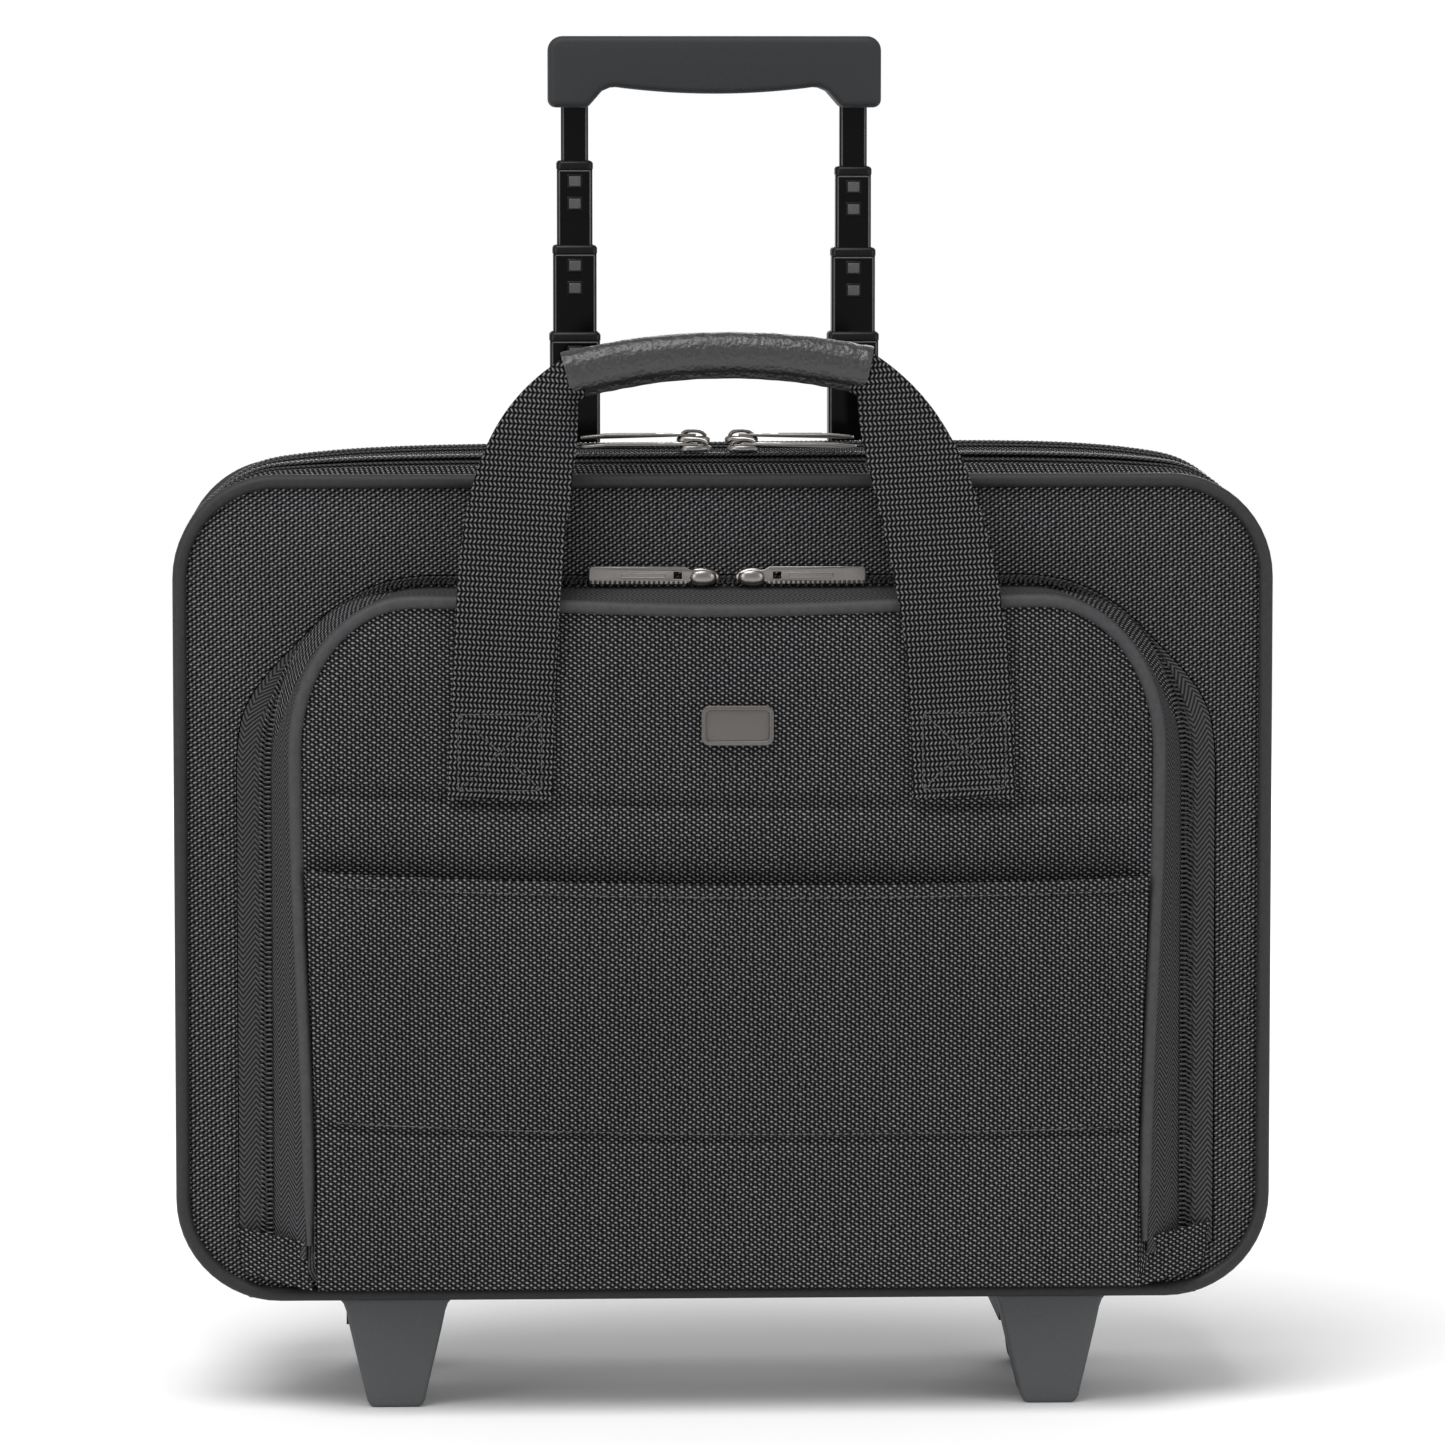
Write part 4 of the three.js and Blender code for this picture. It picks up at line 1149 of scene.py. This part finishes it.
def trolley():
    for name, side in SIDES:
        x = side * TROLLEY_X
        for stage, (width, depth, inner_w, inner_d) in enumerate(TUBES, 1):
            node = f"stage_{stage}_tube_{name}"
            low, high = measure(node)
            shorter = {2: 1.0, 3: 2.2}.get(stage, 0) if side > 0 else 0
            bottom, top = low[2], high[2] - shorter
            r = 1.6
            tube = Piece()
            last = top - 3.0 if stage < 4 else top
            outside = [(bottom, width, depth, r), (last, width, depth, r)]
            inside = [(last, inner_w, inner_d, 1.0), (bottom, inner_w, inner_d, 1.0)]
            loops = tube_loops(x, TROLLEY_Y, outside + inside)
            tube.grid(loops, strip_cloth(loops), around=True, along=True)
            make(f"tube_{stage}_{name}", tube, GLOSS, f"stage_{stage}", node, slot="tube", sharp=50)
            tube_lines(x, width, depth, bottom, last, stage, name)
            if stage < 4:
                collar(x, width, depth, inner_w, inner_d, top, stage, name)


def tube_lines(x, width, depth, bottom, top, stage, name):
    """Fine ridges down the front and back edges of a tube, and across under its collar, coloured lighter
    than the tube: painted highlight lines.
    """
    rails = Piece()
    reach = width / 2 - 0.9
    for face in (-1, 1):
        y = TROLLEY_Y + face * depth / 2
        for edge in (-1, 1):
            line = np.array([[x + edge * reach, y, z] for z in (bottom + 2, top - 1.0)])
            sweep(rails, resample(line, 40), circle(0.3, 8), side=np.array([1.0, 0, 0]))
        if stage < 4:
            line = np.array([[x - reach, y, top - 1.0], [x, y, top - 1.0], [x + reach, y, top - 1.0]])
            sweep(rails, line, circle(0.3, 8), side=BACKWARD)
    # The ridges take the lighter colour: painted highlight lines.
    make(f"tube_highlight_rails_{stage}_{name}", rails, TUBE_HIGHLIGHT, f"stage_{stage}", slot="tube", sharp=80)


def collar(x, width, depth, inner_w, inner_d, top, stage, name):
    """Plastic collar in the top of a tube: a lip, and two windows with snap tabs below it."""
    lip = Piece()
    w, d = width + 0.4, depth + 0.4
    stations = [
        (top - 3.4, w - 0.6, d - 0.6, 1.8), (top - 3.2, w, d, 2.0), (top - 1.1, w, d, 2.0),
        (top - 0.4, w - 0.7, d - 0.7, 1.8), (top, w - 2.0, d - 2.0, 1.4),
        (top, inner_w + 0.2, inner_d + 0.2, 1.0), (top - 3.0, inner_w + 0.2, inner_d + 0.2, 1.0),
    ]
    loops = tube_loops(x, TROLLEY_Y, stations)
    lip.grid(loops, strip_cloth(loops), around=True, along=True)
    make(f"collar_{stage}_{name}", lip, COLLAR, f"stage_{stage}", slot="tube", sharp=40)
    frames_piece, tabs = Piece(), Piece()
    y = TROLLEY_Y - depth / 2
    for drop in (7.9, 16.4):
        rounded_block(frames_piece, (x, y - 0.05, top - drop), (5.8, 0.5, 5.2), 0.2)
        rounded_block(tabs, (x, y - 0.35, top - drop), (4.4, 0.5, 3.8), 0.2)
    make(f"collar_frames_{stage}_{name}", frames_piece, COLLAR, f"stage_{stage}", slot="tube", sharp=40)
    make(f"collar_tabs_{stage}_{name}", tabs, SNAP, f"stage_{stage}", slot="grip", sharp=40)


def arc(cx, cy, radius, start, end, steps=5):
    """Points on an arc, angles in degrees."""
    turn = np.radians(np.linspace(start, end, steps + 1))
    return [(cx + radius * math.cos(a), cy + radius * math.sin(a)) for a in turn]


def rounded_block(piece, centre, size, radius):
    """Block with rounded edges, drawn along its depth."""
    half = size[1] / 2
    section = rounded_section(size[0], size[2], min(radius * 2, size[0] / 2.2, size[2] / 2.2), 4)
    loops = []
    for y, shrink in ((-half, radius), (-half + radius, 0), (half - radius, 0), (half, radius)):
        scale = 1 - 2 * shrink / np.array([size[0], size[2]])
        s = section * scale
        level = np.full(len(s), centre[1] + y)
        loops.append(np.column_stack([centre[0] + s[:, 0], level, centre[2] + s[:, 1]]))
    piece.loft(np.stack(loops))


def plate(rings, thick, bevel, steps=3):
    """Flat plate with holes and rounded edges, as points and faces lying on the XY plane."""
    curve = bpy.data.curves.new("plate", "CURVE")
    curve.dimensions = "2D"
    curve.fill_mode = "BOTH"
    curve.extrude = max(thick / 2 - bevel, 1e-6)
    curve.bevel_depth = bevel
    curve.bevel_resolution = steps
    curve.offset = -bevel
    for ring in rings:
        spline = curve.splines.new("POLY")
        spline.points.add(len(ring) - 1)
        for point, (x, y) in zip(spline.points, ring):
            point.co = (x, y, 0, 1)
        spline.use_cyclic_u = True
    thing = link("plate", curve)
    bpy.context.view_layer.update()
    mesh = bpy.data.meshes.new_from_object(thing.evaluated_get(bpy.context.evaluated_depsgraph_get()))
    bpy.data.objects.remove(thing)
    return mesh


def plate_object(name, rings, thick, bevel, to_frame, look, body, *nodes, slot, shape=None, sharp=35):
    """A plate drawn in millimetres and moved into the frame by to_frame."""
    mesh = plate(rings, thick, bevel)
    points = np.array([v.co for v in mesh.vertices])
    if shape:
        points = shape(points)
    points = np.array([place(*to_frame(p)) for p in points])
    mesh.vertices.foreach_set("co", points.ravel())
    weld(mesh, 2e-6)
    dress(mesh, look, sharp)
    return finish_piece(link(name, mesh), body, slot, nodes)


def trolley_grip():
    """Moulded bar: legs down to the tubes, and an underside that sags a little in the middle."""
    low, high = measure("trolley_grip")
    half, top, foot = high[0] - 0.4, high[2], low[2]
    leg, corner, lower = 47.4, 5.4, 3.0
    ring = arc(-half + lower, foot + lower, lower, 180, 270)
    left_leg = [(-leg - 1.2, foot), (-leg, foot + 0.9), (-leg + 4.6, foot + 6.2), (-leg + 7.6, foot + 7.5)]
    span = leg - 10
    middle = [(span * t, foot + 7.7 - 2.5 * (1 - t * t)) for t in np.linspace(-1, 1, 25)]
    ring += left_leg + middle + [(-x, z) for x, z in left_leg[::-1]]
    ring += arc(half - lower, foot + lower, lower, 270, 360)
    ring += arc(half - corner, top - corner, corner, 0, 90, 7)
    ring += arc(-half + corner, top - corner, corner, 90, 180, 7)
    plate_object(
        "grip_bar", [ring], high[1] - low[1], 2.6, lambda p: (p[0], TROLLEY_Y + p[2], p[1]),
        MOULDED, "stage_4", "trolley_grip", slot="grip",
    )


# ---------------------------------------------------------------- zip sliders and pulls
def zip_slider(zip_name, name, side):
    """Slider: a shield on the teeth and a low broad arch that holds the pull."""
    low, high = measure(f"{zip_name}_slider_{name}")
    upright = zip_name != "pocket"
    centre = (low + high) / 2 + (np.zeros(3) if upright else UP * 2.2)
    long = np.array([side, 0.0, 0.0])
    out = UP if upright else -BACKWARD
    across = np.cross(out, long)
    base = centre - out * (np.dot(np.abs(out), high - low) / 2 + (1.3 if upright else 0))
    body = f"{zip_name}_slider_{name}"
    piece = Piece()
    turn = np.arange(36) / 36 * 2 * math.pi
    shield = np.stack([6.2 * np.cos(turn), 3.6 * np.sin(turn) * (1 + 0.12 * np.cos(turn))], 1)
    loops = []
    for lift, scale in ((0.0, 0.9), (0.35, 1.0), (1.5, 1.0), (2.1, 0.9), (2.4, 0.7)):
        loops.append(base + out * lift + long * shield[:, :1] * scale + across * shield[:, 1:] * scale)
    piece.loft(np.stack(loops))
    arch = np.array([[-4.4, 1.6], [-4.1, 2.9], [-2.8, 3.9], [0, 4.3], [2.8, 3.9], [4.1, 2.9], [4.4, 1.6]])
    path = smooth_path(np.array([base + long * a + out * b for a, b in arch]), 0.5)
    taper = 0.55 + 0.45 * np.sin(np.linspace(0, math.pi, len(path)))
    band = circle(0.75, 14, 3.3)[None] * np.stack([np.ones(len(path)), taper], 1)[:, None]
    sweep(piece, path, band, side=across)
    make(f"{zip_name}_slider_body_{name}", piece, NICKEL, body, body, slot="nickel", sharp=50)
    zip_pull(zip_name, name, base + out * 2.7 + (0 if upright else UP * 0.8), long, across, out)


def zip_pull(zip_name, name, pivot, long, across, out):
    """Flat pull with an eye at the slider, a shallow raised slot and a bent tip."""
    length, half = 42.0, 3.3
    outline = [(-1.0, -1.2), (0.2, -1.9), (4.5, -2.1), (6.5, -half), (length - 9, -half)]
    outline += [(length - 1.0, -half), (length - 0.2, -2.6), (length, -1.2)]
    ring = outline + [(x, -y) for x, y in outline[::-1]]
    eye = [(7.8, -1.3), (7.8, 1.3), (10.8, 1.3), (10.8, -1.3)]

    def bend(points):
        tip = np.clip(points[:, 0] - (length - 10), 0, None)
        points[:, 2] -= tip * 0.10
        return points

    def to_frame(p):
        return pivot + long * p[0] + across * p[1] + out * p[2]

    plate_object(
        f"{zip_name}_pull_plate_{name}", [ring, eye], 1.1, 0.3, to_frame,
        NICKEL, f"{zip_name}_pull_{name}", f"{zip_name}_pull_{name}", slot="nickel", shape=bend,
    )
    rib = Piece()
    corners = [(14.0, -0.8), (30.0, -0.8), (30.0, 0.8), (14.0, 0.8), (14.0, -0.8)]
    path = np.array([pivot + long * a + across * b + out * 0.55 for a, b in corners])
    for start, stop in zip(path[:-1], path[1:]):
        side = across if abs(np.dot(stop - start, long)) > 1 else long
        sweep(rib, np.array([start, (start + stop) / 2, stop]), circle(0.2, 8), side=side)
    make(f"{zip_name}_pull_rib_{name}", rib, NICKEL, f"{zip_name}_pull_{name}", slot="nickel", sharp=60)


def badge():
    """Plain plate with rounded corners and a raised rim."""
    low, high = measure("badge_plate")
    cx, cz = (low[0] + high[0]) / 2, (low[2] + high[2]) / 2
    w, h = (high[0] - low[0]) / 2, (high[2] - low[2]) / 2
    rounded = lambda a, b, r: rounded_section(2 * a, 2 * b, r, 6)
    to_frame = lambda p: (cx + p[0], low[1] - 1.4 + 0.6 - p[2], cz + p[1])
    face = [rounded(w, h, 3)]
    plate_object("badge_face", face, 1.2, 0.35, to_frame, BADGE, "pocket", "badge_plate", slot="nickel")
    front = lambda p: (cx + p[0], low[1] - 1.9 - p[2], cz + p[1])
    rings = [rounded(w, h, 3), rounded(w - 1.6, h - 1.6, 1.8)]
    plate_object("badge_rim", rings, 0.9, 0.3, front, BADGE, "pocket", slot="nickel")


# ---------------------------------------------------------------- base, feet and wheels
def base_parts():
    for name, side in SIDES:
        foot_block(name)
        wheel(name)
        keep("wheel_housing_" + name, BOARD)
        keep("axle_" + name, STEEL)
        keep("outer_tube_" + name, GLOSS)
    low, high = measure("base_board")
    board = Piece()
    size = (high[0] - low[0] - 18, high[1] - low[1], high[2] - low[2])
    rounded_block(board, (low + high) / 2, size, 1.2)
    make("base_panel", board, BOARD, "case", "base_board", slot="grip")
    keep("trolley_cover", LINING)
    keep("trolley_base_block", BOARD)
    keep("trolley_bezel", MOULDED)
    keep("release_button", MOULDED)


def foot_block(name):
    """Moulded foot: a flared collar under the base, then a straight taper to rounded toes."""
    low, high = measure("foot_" + name)
    cx, middle = (low[0] + high[0]) / 2, (low[1] + high[1]) / 2
    toe = 2.6
    half = [(10.3 - toe + toe * math.sin(a), toe - toe * math.cos(a)) for a in np.radians([0, 22, 45, 67])]
    half += [(10.7, 2.6), (17.0, 29.5), (18.4, 36.2), (19.4, 39.0), (21.4, high[2])]
    ring = half + [(-x, z) for x, z in half[::-1]]
    plate_object(
        "foot_block_" + name, [ring], high[1] - low[1], 1.4, lambda p: (cx + p[0], middle + p[2], p[1]),
        FOOT, "case", "foot_" + name, slot="foot",
    )


def keep(node, look):
    """A CAD piece whose shape is right only gets its material."""
    dress(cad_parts[node].data, look, 30)


def lathe(profile, centre, segments=72):
    """Closed ring turned about X from [radius, x] pairs."""
    turn = np.arange(segments) / segments * 2 * math.pi
    profile = np.asarray(profile, float)
    ring = np.empty((segments, len(profile), 3))
    ring[..., 0] = centre[0] + profile[None, :, 1]
    ring[..., 1] = centre[1] + profile[None, :, 0] * np.cos(turn)[:, None]
    ring[..., 2] = centre[2] + profile[None, :, 0] * np.sin(turn)[:, None]
    piece = Piece()
    piece.grid(ring, strip_cloth(ring), around=True, along=True)
    return piece


def wheel(name):
    low, high = measure("wheel_tyre_" + name)
    centre = (low + high) / 2
    r, h = (high[2] - low[2]) / 2, (high[0] - low[0]) / 2
    tread = [(22, 1 - h), (27, 0.2 - h), (28.6, 0.9 - h), (r - 0.3, 3.2 - h), (r, 5 - h)]
    tread += [(r, -2.2), (r - 1.1, -1.6)]
    tread += [(radius, -x) for radius, x in tread[::-1]]
    make("tyre_" + name, lathe(tread, centre), RUBBER, "wheel_" + name, "wheel_tyre_" + name, slot="tyre")
    web = [(3.5, -9.5), (6.4, -9.5), (7.2, -8.8), (8.2, -5)]
    web += [(17, -4.4), (18.2, -8.8), (19, -9.5), (21.7, -9.5)]
    web += [(radius, -x) for radius, x in web[::-1]]
    make("hub_" + name, lathe(web, centre), MOULDED, "wheel_" + name, "wheel_hub_" + name, slot="grip")


# ---------------------------------------------------------------- studio
def studio():
    mesh = bpy.data.meshes.new("floor")
    reach = 3
    corners = [(x * reach, y * reach, 0) for x, y in ((-1, -1), (1, -1), (1, 1), (-1, 1))]
    mesh.from_pydata(corners, [], [(0, 1, 2, 3)])
    floor = link("floor", mesh)
    pale = Look("floor").set(Base_Color=(0.9, 0.9, 0.9, 1), Roughness=0.9, Specular_IOR_Level=0.1)
    mesh.materials.append(pale)
    sky()
    lamp("sun", "SUN", (-0.21, -0.42, 0.88), 2.3)
    lamp("left", "AREA", (-2.0, -1.6, 1.0), 15)
    lamp("right", "AREA", (2.0, -1.4, 1.0), 11)
    lamp("back", "AREA", (0.5, 2.4, 1.2), 18)
    bpy.context.scene.view_settings.view_transform = "Standard"


def sky():
    """Seen directly the surroundings are white; as light they are an even grey."""
    world = bpy.data.worlds.new("studio")
    bpy.context.scene.world = world
    world.use_nodes = True
    tree = world.node_tree
    glow = tree.nodes["Background"]
    glow.inputs[0].default_value = (1, 1, 1, 1)
    glow.inputs[1].default_value = 0.50
    white = tree.nodes.new("ShaderNodeBackground")
    white.inputs[0].default_value = (1, 1, 1, 1)
    white.inputs[1].default_value = 1.0
    choose = tree.nodes.new("ShaderNodeMixShader")
    tree.links.new(tree.nodes.new("ShaderNodeLightPath").outputs["Is Camera Ray"], choose.inputs[0])
    tree.links.new(glow.outputs[0], choose.inputs[1])
    tree.links.new(white.outputs[0], choose.inputs[2])
    tree.links.new(choose.outputs[0], tree.nodes["World Output"].inputs[0])


def lamp(name, kind, spot, energy):
    """Soft light pointed at the middle of the case."""
    light = bpy.data.lights.new(name, kind)
    light.energy = energy
    if kind == "SUN":
        light.angle = math.radians(40)
    else:
        light.size = 1.2
    thing = link(name, light)
    thing.location = spot
    target = Vector((0, 0, 0 if kind == "SUN" else 0.25))
    thing.rotation_euler = (target - Vector(spot)).to_track_quat("-Z", "Y").to_euler()


def camera():
    data = bpy.data.cameras.new("camera")
    cam = link("camera", data)
    bpy.context.scene.camera = cam
    spot = Vector(place(-105, -2700, 490))
    aim = Vector(place(-0.6, 0, 256))
    cam.location = spot
    cam.rotation_euler = (aim - spot).to_track_quat("-Z", "Y").to_euler()
    data.sensor_width = 36
    data.lens = 183


case_sections()
gusset_zips()
pocket_pieces()
slip_pocket()
pocket_zip()
front_handle()
rear_handle()
trolley()
trolley_grip()
for zip_name in ("main", "laptop", "pocket"):
    for name, side in SIDES:
        zip_slider(zip_name, name, side)
badge()
base_parts()
studio()
camera()
